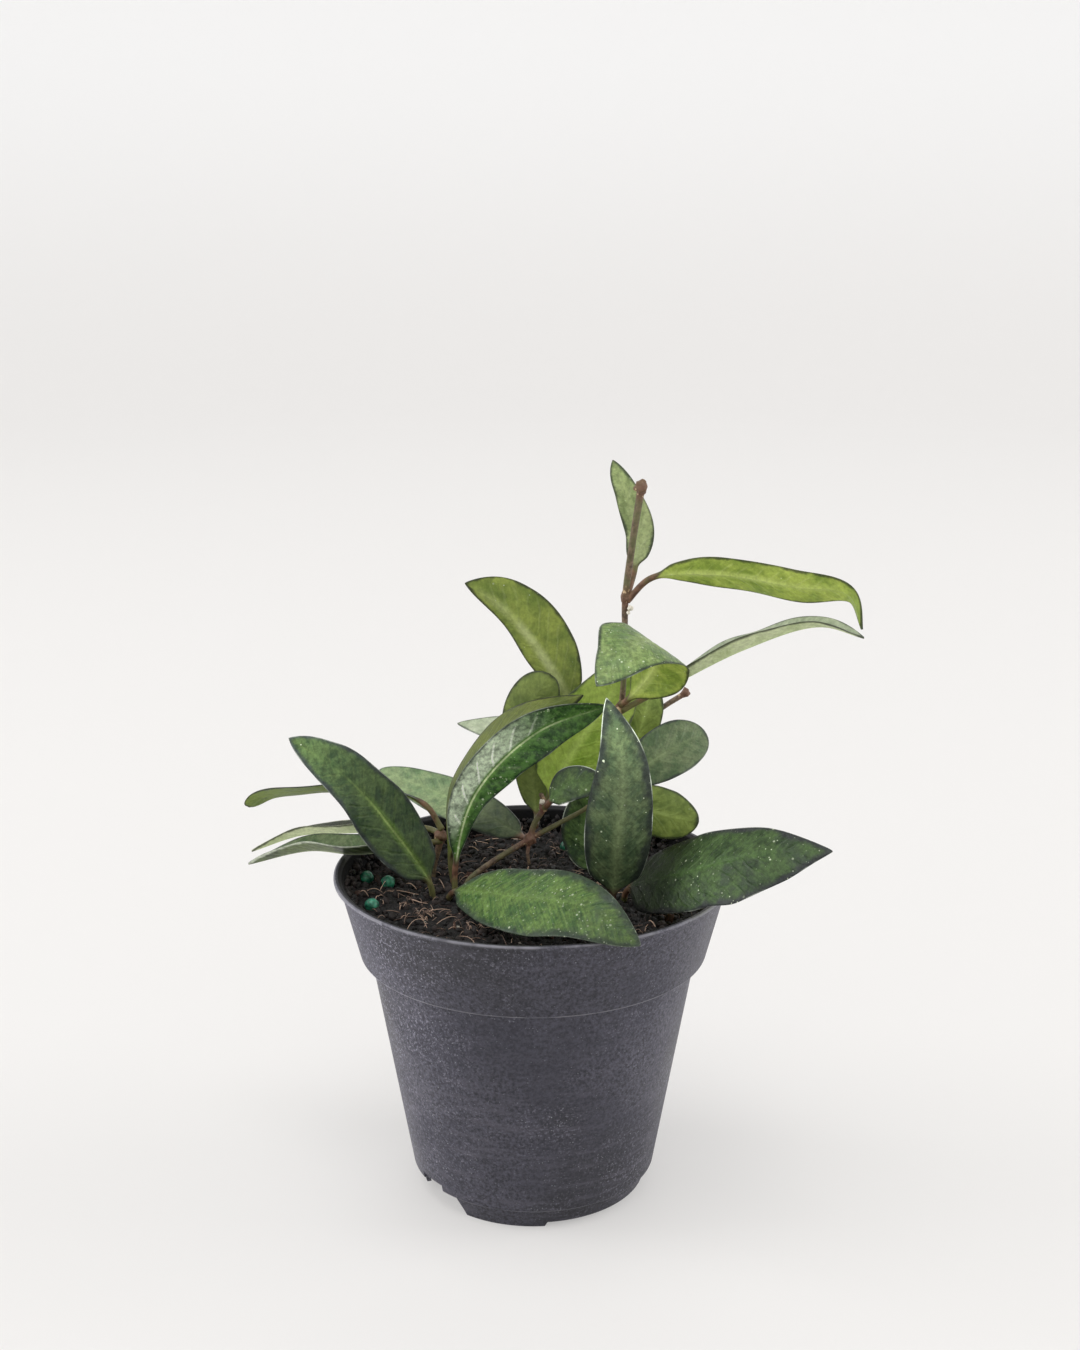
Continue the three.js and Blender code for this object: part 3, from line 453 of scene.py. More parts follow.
def leaf_material(name, look):
    """Leaf skin: mottled green, brighter along its midrib, with a dark margin and pale spots"""
    shader = Shader(f"leaf {name}")
    signed, along, edge, share = [shader.attribute(key) for key in ("across", "along", "edge", "share")]
    across = shader.math("ABSOLUTE", signed)

    # Mottling, and fine streaks that leave the midrib and lean towards the tip
    mottle = shader.noise(look["patches"], 4, 0.65)
    lean = shader.math("MULTIPLY_ADD", across, -VEIN_LEAN, along)
    streak = shader.streaks(shader.product(lean, 1.1), shader.product(signed, 0.22))
    blend = shader.product(mottle, 1 - look["streaks"])
    blend = shader.math("MULTIPLY_ADD", streak, look["streaks"], blend)
    colour = shader.mix(shader.smooth(blend, 0.38, 0.6), look["first"], look["second"])
    towards_base = shader.smooth(share, look["reach"], look["reach"] * 0.4, 0.08, 1)
    zone = shader.smooth(shader.math("MULTIPLY_ADD", mottle, 1.5, across), look["zone"], 0.8)
    colour = shader.coat(colour, look["glow"], zone, towards_base, 0.8)

    # Lateral veins
    phase = shader.math("DIVIDE", lean, look["apart"])
    phase = shader.math("MULTIPLY_ADD", shader.noise(160, 2), look["wander"], phase)
    offset = shader.math("ABSOLUTE", shader.math("SUBTRACT", shader.math("FRACT", phase), 0.5))
    inside = shader.product(shader.smooth(edge, 0.8, 2.6), shader.smooth(across, 0.1, 0.8))
    vein = shader.product(shader.smooth(offset, 0.34, 0.48), inside)
    patchy = shader.smooth(shader.noise(60, 2), 0.4, 0.62, 0.1, 1.6)
    colour = shader.coat(colour, look["mid"], vein, patchy, look["veins"])
    # A painted sheen: a pale patch of painted highlight on one half of the leaf
    if look["painted_sheen"]:
        colour = painted_half_sheen(shader, colour, look["painted_sheen"], signed, share, vein, mottle)

    # The midrib: a soft pale band with a thin line on it, both uneven and faded towards the tip
    faded = shader.product(shader.smooth(shader.noise(130, 2), 0.36, 0.6, 0.45, 1), towards_base)
    colour = shader.coat(colour, look["mid"], shader.smooth(across, 2.1, 0.2), faded, look["soft"])
    colour = shader.coat(colour, look["mid"], shader.smooth(across, 0.4, 0.12), faded, look["rib"])

    # Dark margin with an uneven inner side, and a thin pale line at the very edge, a painted highlight where
    # the edge catches the light
    wander = shader.math("MULTIPLY_ADD", shader.noise(170, 4, 0.65), look["band"] * 3, look["band"] * -1.5)
    margin = shader.smooth(shader.math("ADD", edge, wander), look["band"] * 1.3, look["band"] * 0.2)
    colour = shader.coat(colour, look["margin"], margin, 0.85)
    broken_patches = shader.smooth(shader.noise(140, 3), 0.42, 0.6)
    colour = shader.coat(colour, (168, 176, 162), shader.smooth(edge, 0.3, 0.12), broken_patches, look["line"])

    # Pale spots in loose groups, and fine grain
    large, small = shader.spots(560, 0.22, look["spots"]), shader.spots(1300, 0.28, look["spots"])
    grouped = shader.smooth(shader.noise(75, 2), 0.4, 0.62, 0.15, 0.9)
    colour = shader.coat(colour, (198, 208, 180), shader.math("MAXIMUM", large, small), grouped)
    grain = shader.noise(760, 4, 0.75)
    coarse = shader.smooth(grain, 0.32, 0.68, 1 - look["grain"], 1 + look["grain"])
    # Painted light and shade: each leaf is made brighter or darker along its length for the light that falls
    # on it, as well as for its tone
    colour = shader.scaled(colour, shader.product(coarse, shader.attribute("tone_and_painted_light")))

    # The petiole, and the relief of the skin
    stalk = shader.mix(shader.smooth(shader.noise(420, 3), 0.35, 0.65), (82, 56, 46), (128, 96, 76))
    stalk = shader.coat(stalk, (104, 112, 66), shader.smooth(shader.noise(130, 2), 0.45, 0.62, 0, 0.7))
    colour = shader.coat(colour, stalk, shader.attribute("petiole"))
    normal = shader.bump(mottle, 0.00045, 0.7)
    normal = shader.bump(grain, 0.00009, 0.8, normal)
    normal = shader.bump(vein, 0.00012, 0.6, normal)
    roughness = shader.smooth(mottle, 0.3, 0.7, look["rough"] - 0.08, look["rough"] + 0.12)
    return shader.finish(colour, roughness, normal, Specular_IOR_Level=0.3)


def painted_half_sheen(shader, colour, painted_sheen, signed, share, vein, mottle):
    """A painted sheen: a pale silky patch with clear veins on the half of a leaf where across is below 0"""
    length = shader.product(shader.smooth(share, 0.08, 0.25), shader.smooth(share, 0.82, 0.5))
    patch = shader.product(shader.smooth(signed, -0.3, -1.4), length)
    colour = shader.coat(colour, painted_sheen, patch, shader.smooth(mottle, 0.3, 0.62, 0.42, 0.74))
    return shader.coat(colour, (236, 242, 228), patch, shader.smooth(vein, 0.5, 1), 0.65)


def stem_material():
    """Wiry stem: brown-grey and olive in patches, with reddish knots that have pale scars"""
    shader = Shader("stem bark")
    grain = shader.noise(800, 4, 0.7)
    colour = shader.mix(shader.smooth(grain, 0.35, 0.65), (74, 58, 46), (128, 108, 86))
    colour = shader.coat(colour, (98, 100, 62), shader.smooth(shader.noise(110, 2), 0.45, 0.62, 0, 0.75))
    knot = shader.attribute("knot")
    colour = shader.coat(colour, (112, 70, 56), knot, 0.6)
    scar = shader.smooth(shader.noise(520, 2), 0.6, 0.66)
    colour = shader.coat(colour, (206, 180, 142), knot, scar, 0.8)
    return shader.finish(colour, 0.6, shader.bump(grain, 0.00022, 0.9))


def pot_material():
    """Thin black plastic, grey with dust: mottled and scuffed, with pale specks, painted flank light,
    painted shade inside
    """
    shader = Shader("pot plastic")
    grain = shader.noise(1100, 3, 0.7)
    cloud = shader.noise(34, 4, 0.55)
    scuff = shader.noise(1, 5, 0.65, (70, 70, 480))
    broken_patches = shader.smooth(shader.noise(120, 3), 0.35, 0.6, 0.1, 0.9)
    shaded_inside = shaded_inner_wall(shader)
    colour = plastic_with_dust_and_light(shader, grain, cloud, scuff, broken_patches)
    # Painted shade: near black on the inside of the rim band's wall
    colour = shader.coat(colour, (9, 8, 9), shaded_inside, 0.97)
    colour = rim_top(shader, colour, broken_patches)
    normal = shader.bump(grain, 0.00012, 0.7)
    normal = shader.bump(scuff, 0.00008, 0.5, normal)
    roughness = shader.math("MAXIMUM", shader.smooth(cloud, 0.3, 0.7, 0.42, 0.58), shaded_inside)
    return shader.finish(colour, roughness, normal, Specular_IOR_Level=0.3)


def plastic_with_dust_and_light(shader, grain, cloud, scuff, broken_patches):
    """The colour of the pot's outer side, with painted light on its flanks"""
    x, z = shader.coordinate("X"), shader.coordinate("Z")
    colour = shader.mix(shader.smooth(grain, 0.3, 0.7), (37, 37, 45), (85, 84, 97))
    colour = shader.coat(colour, (56, 56, 66), shader.smooth(cloud, 0.42, 0.62, 0, 0.5))
    colour = shader.coat(colour, (38, 38, 41), shader.smooth(shader.noise(23, 3), 0.5, 0.68, 0, 0.6))

    # Level scuffs, stronger on the lower half
    low = shader.smooth(z, 52, 30, 0.25, 0.6)
    colour = shader.coat(colour, (88, 86, 97), shader.smooth(scuff, 0.48, 0.68), low)

    # Dust in patches, more of it on the flanks than on the front, where it also stands for painted side
    # light
    flank_dust_and_light = shader.math("ADD", shader.smooth(x, -8, -40, 0, 1.2), shader.smooth(x, 12, 42, 0, 0.7))
    dusty = shader.smooth(shader.noise(48, 3, 0.6), 0.45, 0.68, 0.1, 0.75)
    dusty = shader.math("MULTIPLY_ADD", flank_dust_and_light, 0.55, dusty)
    bloom = shader.smooth(shader.noise(1400, 4, 0.7), 0.52, 0.64)
    colour = shader.coat(colour, (148, 146, 161), bloom, dusty, 0.55)

    # Pale lines in patches on the edges of the rim, the band and the foot, partly wear and partly painted
    # highlight
    for edge, below in ((POT_HEIGHT - 0.3, 0.6), (BAND_BOTTOM + 0.2, 0.3), (FOOT_TOP, 0.4)):
        rise, fall = shader.smooth(z, edge - below, edge), shader.smooth(z, edge + 0.4, edge)
        colour = shader.coat(colour, (158, 157, 164), rise, fall, broken_patches, 0.6)

    # Pale specks, most of them in the dust
    specks = shader.math("MAXIMUM", shader.spots(1250, 0.22, 0.36), shader.spots(430, 0.1, 0.34))
    colour = shader.coat(colour, (182, 184, 192), specks, shader.math("MULTIPLY_ADD", dusty, 0.6, 0.2))

    # The flanks are paler than the front as painted side light, the band is darker but paler at its left
    # as painted light, and the foot is darker
    painted_side_light = shader.math("MULTIPLY_ADD", flank_dust_and_light, 0.46, 0.84)
    band = shader.smooth(z, BAND_BOTTOM - 0.5, BAND_BOTTOM + 0.5)
    band_tone_and_painted_light = shader.math("MULTIPLY_ADD", band, shader.smooth(x, -22, -46, -0.12, 0.2), 1)
    foot = shader.smooth(z, FOOT_TOP, FOOT_TOP - 0.6, 1, 0.82)
    return shader.scaled(colour, shader.product(painted_side_light, band_tone_and_painted_light, foot))


def shaded_inner_wall(shader):
    """1 on the inside of the rim band's wall, where painted shade goes, and 0 elsewhere"""
    z = shader.coordinate("Z")
    slant = (BAND_TOP_RADIUS - BAND_BOTTOM_RADIUS) / (POT_HEIGHT - RIM_LIP_DEPTH - BAND_BOTTOM)
    at_ground = BAND_BOTTOM_RADIUS - WALL / 2 - slant * BAND_BOTTOM
    middle = shader.math("MULTIPLY_ADD", z, slant, at_ground)
    shaded_inside = shader.smooth(shader.math("SUBTRACT", middle, shader.from_axis()), 0, 0.4)
    return shader.product(shaded_inside, shader.smooth(z, BAND_BOTTOM, BAND_BOTTOM + 2))


def rim_top(shader, colour, broken_patches):
    """Rim top darker than its outer edge of wear and painted highlight, inner edge darker still as painted
    shade
    """
    z, radius = shader.coordinate("Z"), shader.from_axis()
    high = shader.smooth(z, POT_HEIGHT - 0.5, POT_HEIGHT - 0.25)
    crown = shader.smooth(radius, RIM_RADIUS - 0.4, RIM_RADIUS - 0.6)
    colour = shader.coat(colour, (34, 33, 38), high, crown, 0.8)
    # Wear and painted highlight in patches on the rim's outer edge
    wear_and_painted_highlight = shader.smooth(radius, RIM_RADIUS - 0.55, RIM_RADIUS - 0.4)
    colour = shader.coat(colour, (130, 129, 137), high, wear_and_painted_highlight, broken_patches)
    # Painted shade on the rim's inner edge
    inner = shader.smooth(radius, RIM_INNER_RADIUS + 0.3, RIM_INNER_RADIUS - 0.1)
    above = shader.smooth(z, POT_HEIGHT - 1.3, POT_HEIGHT - 1)
    return shader.coat(colour, (14, 13, 14), inner, above, 0.95)


def soil_material():
    """Dark moist potting mix under its crumbs"""
    shader = Shader("potting mix")
    fine = shader.noise(1100, 5, 0.7)
    colour = shader.mix(shader.smooth(fine, 0.4, 0.7), (7, 6, 6), (26, 19, 17))
    return shader.finish(colour, 0.8, shader.bump(fine, 0.0006))


def toned_material(name, dark, light, roughness, relief=0.0002):
    """Loose bits that go from dark to light by their tone"""
    shader = Shader(name)
    grain = shader.noise(1600, 3, 0.6)
    tone = shader.math("MULTIPLY_ADD", grain, 0.5, shader.math("SUBTRACT", shader.attribute("tone"), 0.25))
    colour = shader.mix(shader.smooth(tone, 0, 1), dark, light)
    return shader.finish(colour, roughness, shader.bump(grain, relief))


def bead_material():
    """Resin coat of a fertiliser granule"""
    shader = Shader("granule coat")
    mottle = shader.noise(700, 4, 0.6)
    colour = shader.mix(shader.smooth(mottle, 0.35, 0.7), (14, 74, 58), (62, 150, 118))
    return shader.finish(colour, 0.35, shader.bump(mottle, 0.0002), Subsurface_Weight=0.05)


def sap_material():
    """Dried white sap"""
    shader = Shader("dried sap")
    mottle = shader.noise(900, 3)
    colour = shader.mix(mottle, (206, 196, 176), (240, 236, 226))
    return shader.finish(colour, 0.35, shader.bump(mottle, 0.0001))


def add_object(name, data):
    """An object in the scene"""
    made = bpy.data.objects.new(name, data)
    bpy.context.scene.collection.objects.link(made)
    return made


def closed_mesh(name, vertices, faces):
    """A mesh from millimetres, with its faces turned outwards"""
    mesh = bpy.data.meshes.new(name)
    mesh.from_pydata((np.asarray(vertices, float) * METRES).tolist(), [], faces)
    body = bmesh.new()
    body.from_mesh(mesh)
    bmesh.ops.recalc_face_normals(body, faces=body.faces)
    body.to_mesh(mesh)
    body.free()
    return mesh


def shade_smooth(mesh):
    mesh.polygons.foreach_set("use_smooth", np.ones(len(mesh.polygons), bool))


def set_numbers(mesh, name, values):
    """Gives each vertex a number that a material reads"""
    mesh.attributes.new(name, "FLOAT", "POINT").data.foreach_set("value", np.asarray(values, np.float32))


def add_piece(name, vertices, faces, materials, nodes=(), picks=None, attributes=None):
    """Makes a closed, smooth piece from millimetres that rides on the root and stands for CAD nodes.

    picks gives each face its material, and attributes a number to each vertex.
    """
    mesh = closed_mesh(name, vertices, faces)
    for material in materials:
        mesh.materials.append(material)
    if picks is not None:
        mesh.polygons.foreach_set("material_index", np.asarray(picks, np.int32))
    for key, values in (attributes or {}).items():
        set_numbers(mesh, key, values)
    shade_smooth(mesh)
    piece = add_object(name, mesh)
    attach(piece, "root")
    if nodes:
        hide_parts(*nodes)
    return piece


def apply_modifiers(piece):
    """Makes the piece's modifiers part of its mesh"""
    graph = bpy.context.evaluated_depsgraph_get()
    mesh = bpy.data.meshes.new_from_object(piece.evaluated_get(graph))
    piece.modifiers.clear()
    piece.data = mesh


class Path:
    """A centripetal Catmull-Rom curve through points, read by its share of length"""

    # Steps from one point to the next, and steps of the whole curve along which its normal turns
    FINE = 80
    TURNS = 96

    def __init__(self, points):
        knots = np.array(points, float)
        before = 2 * knots[0] - knots[1]
        after = 2 * knots[-1] - knots[-2]
        padded = np.vstack([before, knots, after])
        line = [knots[0]]
        for i in range(1, len(knots)):
            line.extend(self.span(*padded[i - 1:i + 3]))
        self.line = np.array(line)
        steps = np.linalg.norm(np.diff(self.line, axis=0), axis=1)
        self.lengths = np.concatenate([[0], np.cumsum(steps)])
        self.total = self.lengths[-1]
        self.knot_shares = self.lengths[::self.FINE] / self.total

    def span(self, a, b, c, d):
        """Points from b to c, with b left out"""
        before, here, after = [np.sqrt(np.linalg.norm(q - p)) for p, q in ((a, b), (b, c), (c, d))]
        leave = ((b - a) / before - (c - a) / (before + here) + (c - b) / here) * here
        arrive = ((c - b) / here - (d - b) / (here + after) + (d - c) / after) * here
        w = (np.arange(1, self.FINE + 1) / self.FINE)[:, None]
        bend, twist = 3 * (c - b) - 2 * leave - arrive, 2 * (b - c) + leave + arrive
        return b + leave * w + bend * w ** 2 + twist * w ** 3

    def at(self, shares):
        where = np.clip(shares, 0, 1) * self.total
        return np.stack([np.interp(where, self.lengths, self.line[:, i]) for i in range(3)], -1)

    def tangents(self, shares):
        step = 0.004
        ahead, behind = np.minimum(shares + step, 1), np.maximum(shares - step, 0)
        return unit(self.at(ahead) - self.at(behind))

    def frames(self, shares, facing, home):
        """Normal and side at shares, turned as little as possible from the share at home"""
        even = np.linspace(0, 1, self.TURNS + 1)
        tangents = self.tangents(even)
        normals = np.zeros_like(tangents)
        first = round(home * self.TURNS)
        normals[first] = square(np.array(facing, float), tangents[first])
        for i in range(first + 1, self.TURNS + 1):
            normals[i] = square(normals[i - 1], tangents[i])
        for i in range(first - 1, -1, -1):
            normals[i] = square(normals[i + 1], tangents[i])
        tangent = self.tangents(shares)
        normal = np.stack([np.interp(shares, even, normals[:, i]) for i in range(3)], -1)
        normal = square(normal, tangent)
        return normal, np.cross(tangent, normal)


def unit(vectors):
    return vectors / np.linalg.norm(vectors, axis=-1, keepdims=True)


def square(vector, tangent):
    """The part of a vector that is square to a tangent, as a unit vector"""
    return unit(vector - np.sum(vector * tangent, -1, keepdims=True) * tangent)


def smoothstep(value, low, high):
    share = np.clip((value - low) / (high - low), 0, 1)
    return share * share * (3 - 2 * share)


def outline(t, base, tip):
    """Half the width of a blade, as a share of its greatest half-width, at t from its base to its tip"""
    widest = base / (base + tip)
    return (t / widest) ** base * ((1 - t) / (1 - widest)) ** tip


def stepped(values, t):
    """The value at t of a list of values at even steps from 0 to 1"""
    at = t * (len(values) - 1)
    low = np.minimum(at.astype(int), len(values) - 2)
    values = np.array(values, float)
    return values[low] + (values[low + 1] - values[low]) * smoothstep(at - low, 0, 1)


def ring_faces(rings, around):
    """Quads between closed rings of vertices"""
    quads = []
    for i in range(rings - 1):
        for j in range(around):
            k = (j + 1) % around
            quads.append((i * around + j, i * around + k, (i + 1) * around + k, (i + 1) * around + j))
    return quads


def capped_rings(rings, around):
    """Quads between closed rings of vertices, then a cap on the first ring and one on the last"""
    last = (rings - 1) * around
    return ring_faces(rings, around) + [tuple(range(around - 1, -1, -1)), tuple(range(last, last + around))]


def turned(profile, sides):
    """Vertices of rings of (radius, height) round the axis, from the front towards +X"""
    angles = np.arange(sides) * 2 * np.pi / sides
    return [(r * math.sin(a), -r * math.cos(a), z) for r, z in profile for a in angles]


def stations_along(start):
    """Shares of a midrib's length for the rings of a leaf whose blade begins at start"""
    even = np.linspace(0, 1, BLADE_STATIONS)
    blade = 0.45 * even + 0.55 * (0.5 - 0.5 * np.cos(np.pi * even))
    stalk = np.linspace(0, start, PETIOLE_STATIONS, endpoint=False)
    return np.concatenate([stalk, start + (1 - start) * blade])


def places_across():
    """Places round a leaf's ring from -1 to 1 and back, and 1, 0 or -1 for upper face, margin or lower face.

    They are closer together at the midrib and at the margins.
    """
    even = np.linspace(-1, 1, ACROSS_STEPS + 1)
    top = even - 0.55 * np.sin(2 * np.pi * even) / (2 * np.pi)
    u = np.concatenate([top, top[-2:0:-1]])[None, :]
    face = np.concatenate([np.ones(ACROSS_STEPS + 1), -np.ones(ACROSS_STEPS - 1)])[None, :]
    return u, np.where(np.isclose(np.abs(u), 1), 0, face)


def blade_form(leaf, number, t, u, length):
    """Half-widths of a blade, and how far its middle layer is out from the midrib and up from it"""
    fold, cup = math.radians(leaf.get("fold", 0)), math.radians(leaf.get("cup", 0)) or NEARLY_FLAT
    plus, minus = stepped(leaf.get("plus", (1, 1)), t), stepped(leaf.get("minus", (1, 1)), t)
    narrowing = outline(t, leaf.get("base", 0.6), leaf.get("tip", 0.8))
    half = leaf["width"] / 2 * narrowing * np.where(u > 0, plus, minus)
    half = np.maximum(half, LEAST_HALF_WIDTH * np.sqrt(1 - t))
    out = np.sign(u) * half * (np.sin(fold + cup * np.abs(u)) - np.sin(fold)) / cup
    up = half * (np.cos(fold) - np.cos(fold + cup * np.abs(u))) / cup
    up = up + leaf.get("wave", 0) * u ** 2 * np.sin(2 * np.pi * (1.5 * t + 0.3)) * np.sin(np.pi * t)
    ruffle = np.sin(2 * np.pi * (2.6 * t + 0.37 * number) + 1.7 * np.sign(u))
    up = up + RUFFLE * np.abs(u) ** 3 * ruffle * np.sin(np.pi * t)

    # The skin swells a little between the lateral veins
    distance = np.abs(u) * half
    lean = (t * length - VEIN_LEAN * distance) / LOOKS[leaf["upper"]]["apart"]
    clear = smoothstep(distance, 0.4, 2) * smoothstep((1 - np.abs(u)) * half, 0.3, 2)
    return half, out, up - leaf.get("quilt", QUILT) * clear * np.cos(2 * np.pi * lean)


def add_leaf(leaf, number, materials):
    """A leaf as one skin: a round petiole that opens into a thin blade with a crease along its midrib"""
    path = Path(leaf["midrib"])
    start = path.knot_shares[1]
    length = path.total * (1 - start)
    shares = stations_along(start)
    t = np.clip((shares - start) / (1 - start), 0, 1)[:, None]
    u, face = places_across()
    half, out, up = blade_form(leaf, number, t, u, length)
    crease = np.exp(-(np.abs(u) * half / 0.5) ** 2) * (1 - 0.7 * t)
    thick = LEAF_THICKNESS / 2 * np.sqrt(1 - np.abs(u) ** 5) * (1 - 0.35 * t)
    lift = face * thick - np.where(face > 0, CREASE_ABOVE, CREASE_BELOW) * crease

    # The petiole opens into the blade
    opened = smoothstep(t, 0, 0.11)
    round_side = face * np.sqrt(np.maximum(0, 1 - u ** 2))
    radius = PETIOLE_RADIUS * (1 + 0.18 * np.exp(-(shares[:, None] * path.total / 1.6) ** 2))
    sideways = radius * u * (1 - opened) + out * opened
    upward = radius * round_side * (1 - opened) + (up + lift) * opened
    normal, side = path.frames(shares, leaf["facing"], start + (1 - start) / 2)
    points = path.at(shares)[:, None] + side[:, None] * sideways[..., None]
    points = points + normal[:, None] * upward[..., None]

    # Its materials, and what they read
    rings, around = points.shape[:2]
    upper_then_lower = [0 if step < ACROSS_STEPS else 1 for step in range(around)]
    picks = upper_then_lower * (rings - 1) + [0, 0]
    whole = np.ones((rings, around))
    margin = np.minimum((1 - np.abs(u)) * half, (1 - t) * length * 0.7)
    attributes = {
        "across": (u * half).ravel(),
        "along": (t * length * whole).ravel(),
        "edge": margin.ravel(),
        "share": (t * whole).ravel(),
        # How bright the leaf is painted along its length: its tone, with painted light and shade
        "tone_and_painted_light": (stepped(leaf.get("tone_and_painted_light", (1, 1)), t) * whole).ravel(),
        "petiole": ((1 - smoothstep(t, 0.0, 0.07)) * whole).ravel(),
    }
    pair = [materials[leaf["upper"]], materials[leaf["under"]]]
    add_piece(leaf["name"] + "_skin", points.reshape(-1, 3), capped_rings(rings, around), pair,
              [leaf["name"]], picks, attributes)


def tube(points, radii, sides, facing=(0.1, -0.9, 0.3), spacing=0.7):
    """Vertices and faces of a closed tube along a path with a radius at each point"""
    path = Path(points)
    count = max(4, round(path.total / spacing))
    shares = np.linspace(0, 1, count)
    radius = np.interp(shares, path.knot_shares, radii)[:, None, None]
    normal, side = path.frames(shares, facing, 0.5)
    angle = np.arange(sides) * 2 * np.pi / sides
    ring = side[:, None] * np.cos(angle)[None, :, None] + normal[:, None] * np.sin(angle)[None, :, None]
    return (path.at(shares)[:, None] + radius * ring).reshape(-1, 3), capped_rings(count, sides)


def lump(centre, radius, divisions, rough, squash=(1, 1, 1), spin=None):
    """Vertices and faces of an uneven ball, which has another form at each place"""
    body = bmesh.new()
    bmesh.ops.create_icosphere(body, subdivisions=divisions, radius=1)
    directions = np.array([vertex.co[:] for vertex in body.verts])
    faces = [tuple(vertex.index for vertex in face.verts) for face in body.faces]
    body.free()
    shift = np.array(centre, float) * 3.1
    swell = np.array([noise.noise(Vector(d * 1.6 + shift)) for d in directions])
    shape = directions * (1 + rough * swell)[:, None] * np.array(squash)
    if spin is not None:
        shape = shape @ spin.T
    return shape * radius + np.array(centre, float), faces


def merged(parts):
    """Several (vertices, faces) as one, and the part number of each vertex"""
    vertices, faces, owners = [], [], []
    first = 0
    for number, (points, polygons) in enumerate(parts):
        vertices.append(points)
        faces.extend(tuple(first + i for i in polygon) for polygon in polygons)
        owners.extend([number] * len(points))
        first += len(points)
    return np.vstack(vertices), faces, np.array(owners)


def add_stem(stem, material):
    """A stem whose runs and knots grow together in one skin"""
    parts = [tube([p[:3] for p in run], [p[3] for p in run], 14) for run in stem["runs"]]
    parts += [lump(knot[:3], knot[3] * 1.02, 3, 0.45, (1, 1, 1.1)) for knot in stem["knots"]]
    vertices, faces, _ = merged(parts)
    piece = add_piece(stem["name"] + "_bark", vertices, faces, [material], [stem["name"]])

    # One even skin over all of it
    remesh = piece.modifiers.new("grown together", "REMESH")
    remesh.mode = "VOXEL"
    remesh.voxel_size = STEM_VOXEL * METRES
    relax = piece.modifiers.new("relaxed", "SMOOTH")
    relax.iterations = 3
    apply_modifiers(piece)
    mesh = piece.data

    # How near each vertex is to a knot
    places = np.empty(len(mesh.vertices) * 3, np.float32)
    mesh.vertices.foreach_get("co", places)
    places = places.reshape(-1, 3) / METRES
    nearness = np.zeros(len(places))
    for x, y, z, radius in stem["knots"]:
        away = np.linalg.norm(places - (x, y, z), axis=1)
        nearness = np.maximum(nearness, 1 - smoothstep(away, radius, radius * 3))
    set_numbers(mesh, "knot", nearness)
    shade_smooth(mesh)
    if not mesh.materials:
        mesh.materials.append(material)


def soil_height(x, y):
    """Height of the soil, as in the solids: uneven, with low crumbs"""
    swell = 0.3 * np.sin(0.11 * x + 0.7) * np.cos(0.13 * y + 0.4)
    crumbs = 0.14 * np.sin(0.83 * x - 0.42 * y) + 0.12 * np.sin(0.57 * x + 0.95 * y + 1)
    return SOIL_LEVEL + swell + crumbs


def inside_radius(z):
    """The pot's inside radius at a height above the floor"""
    shelf = BAND_BOTTOM + WALL
    if z < shelf:
        share = (z - FLOOR_TOP) / (shelf - FLOOR_TOP)
        return (BODY_BOTTOM_RADIUS - WALL) + share * (BODY_TOP_RADIUS - BODY_BOTTOM_RADIUS)
    share = (z - shelf) / (POT_HEIGHT - RIM_LIP_DEPTH - shelf)
    return (BAND_BOTTOM_RADIUS - WALL) + share * (BAND_TOP_RADIUS - BAND_BOTTOM_RADIUS)


def add_soil(material):
    """The filling of the pot, with a crumbly top"""
    around, rings = 260, 100
    shelf = BAND_BOTTOM + WALL + GAP
    bottom = FLOOR_TOP + GAP
    profile = [
        (0.01, bottom),
        (inside_radius(bottom) - GAP, bottom),
        (inside_radius(shelf - GAP - 0.01) - GAP, shelf),
        (inside_radius(shelf) - GAP, shelf),
        (inside_radius(SOIL_LEVEL) - GAP - 0.1, SOIL_LEVEL - 1),
    ]
    vertices = turned(profile, around)
    edge = inside_radius(SOIL_LEVEL) - GAP - 0.1
    for i in range(rings):
        radius = edge * (1 - i / rings) + 0.01
        dip = 0.5 * smoothstep(radius, edge - 2.5, edge)
        for x, y, _ in turned([(radius, 0)], around):
            crumb = noise.fractal(Vector((x * 0.55, y * 0.55, 3.0)), 1.0, 2.1, 4)
            vertices.append((x, y, soil_height(x, y) + 0.9 * crumb - dip))
    faces = capped_rings(len(profile) + rings, around)
    add_piece("soil_filling", vertices, faces, [material], ["soil"])


def scattered(count):
    """Even random places on the soil"""
    radius = SOIL_EDGE * np.sqrt(rng.random(count))
    angle = rng.random(count) * 2 * np.pi
    return radius * np.cos(angle), radius * np.sin(angle)


def random_spin():
    """A random turn, as a matrix"""
    w, x, y, z = unit(rng.normal(size=4))
    return np.array([
        [1 - 2 * (y * y + z * z), 2 * (x * y - z * w), 2 * (x * z + y * w)],
        [2 * (x * y + z * w), 1 - 2 * (x * x + z * z), 2 * (y * z - x * w)],
        [2 * (x * z - y * w), 2 * (y * z + x * w), 1 - 2 * (x * x + y * y)],
    ])


def add_toned(name, parts, tones, material):
    """Loose parts as one piece, each with its own tone"""
    vertices, faces, owners = merged(parts)
    attributes = {"tone": np.asarray(tones)[owners]}
    add_piece(name, vertices, faces, [material], attributes=attributes)


def add_bits(name, count, sizes, material, squash=(1, 1, 1), divisions=1, rough=0.9):
    """Loose bits on the soil, with radii between two sizes in mm and more small ones than large ones"""
    xs, ys = scattered(count)
    radii = sizes[0] + (sizes[1] - sizes[0]) * rng.random(count) ** 2.5
    tones = rng.random(count)
    parts = []
    for x, y, radius in zip(xs, ys, radii):
        centre = (x, y, soil_height(x, y) + 0.25 * radius)
        parts.append(lump(centre, radius, divisions, rough, squash, random_spin()))
    add_toned(name, parts, tones, material)


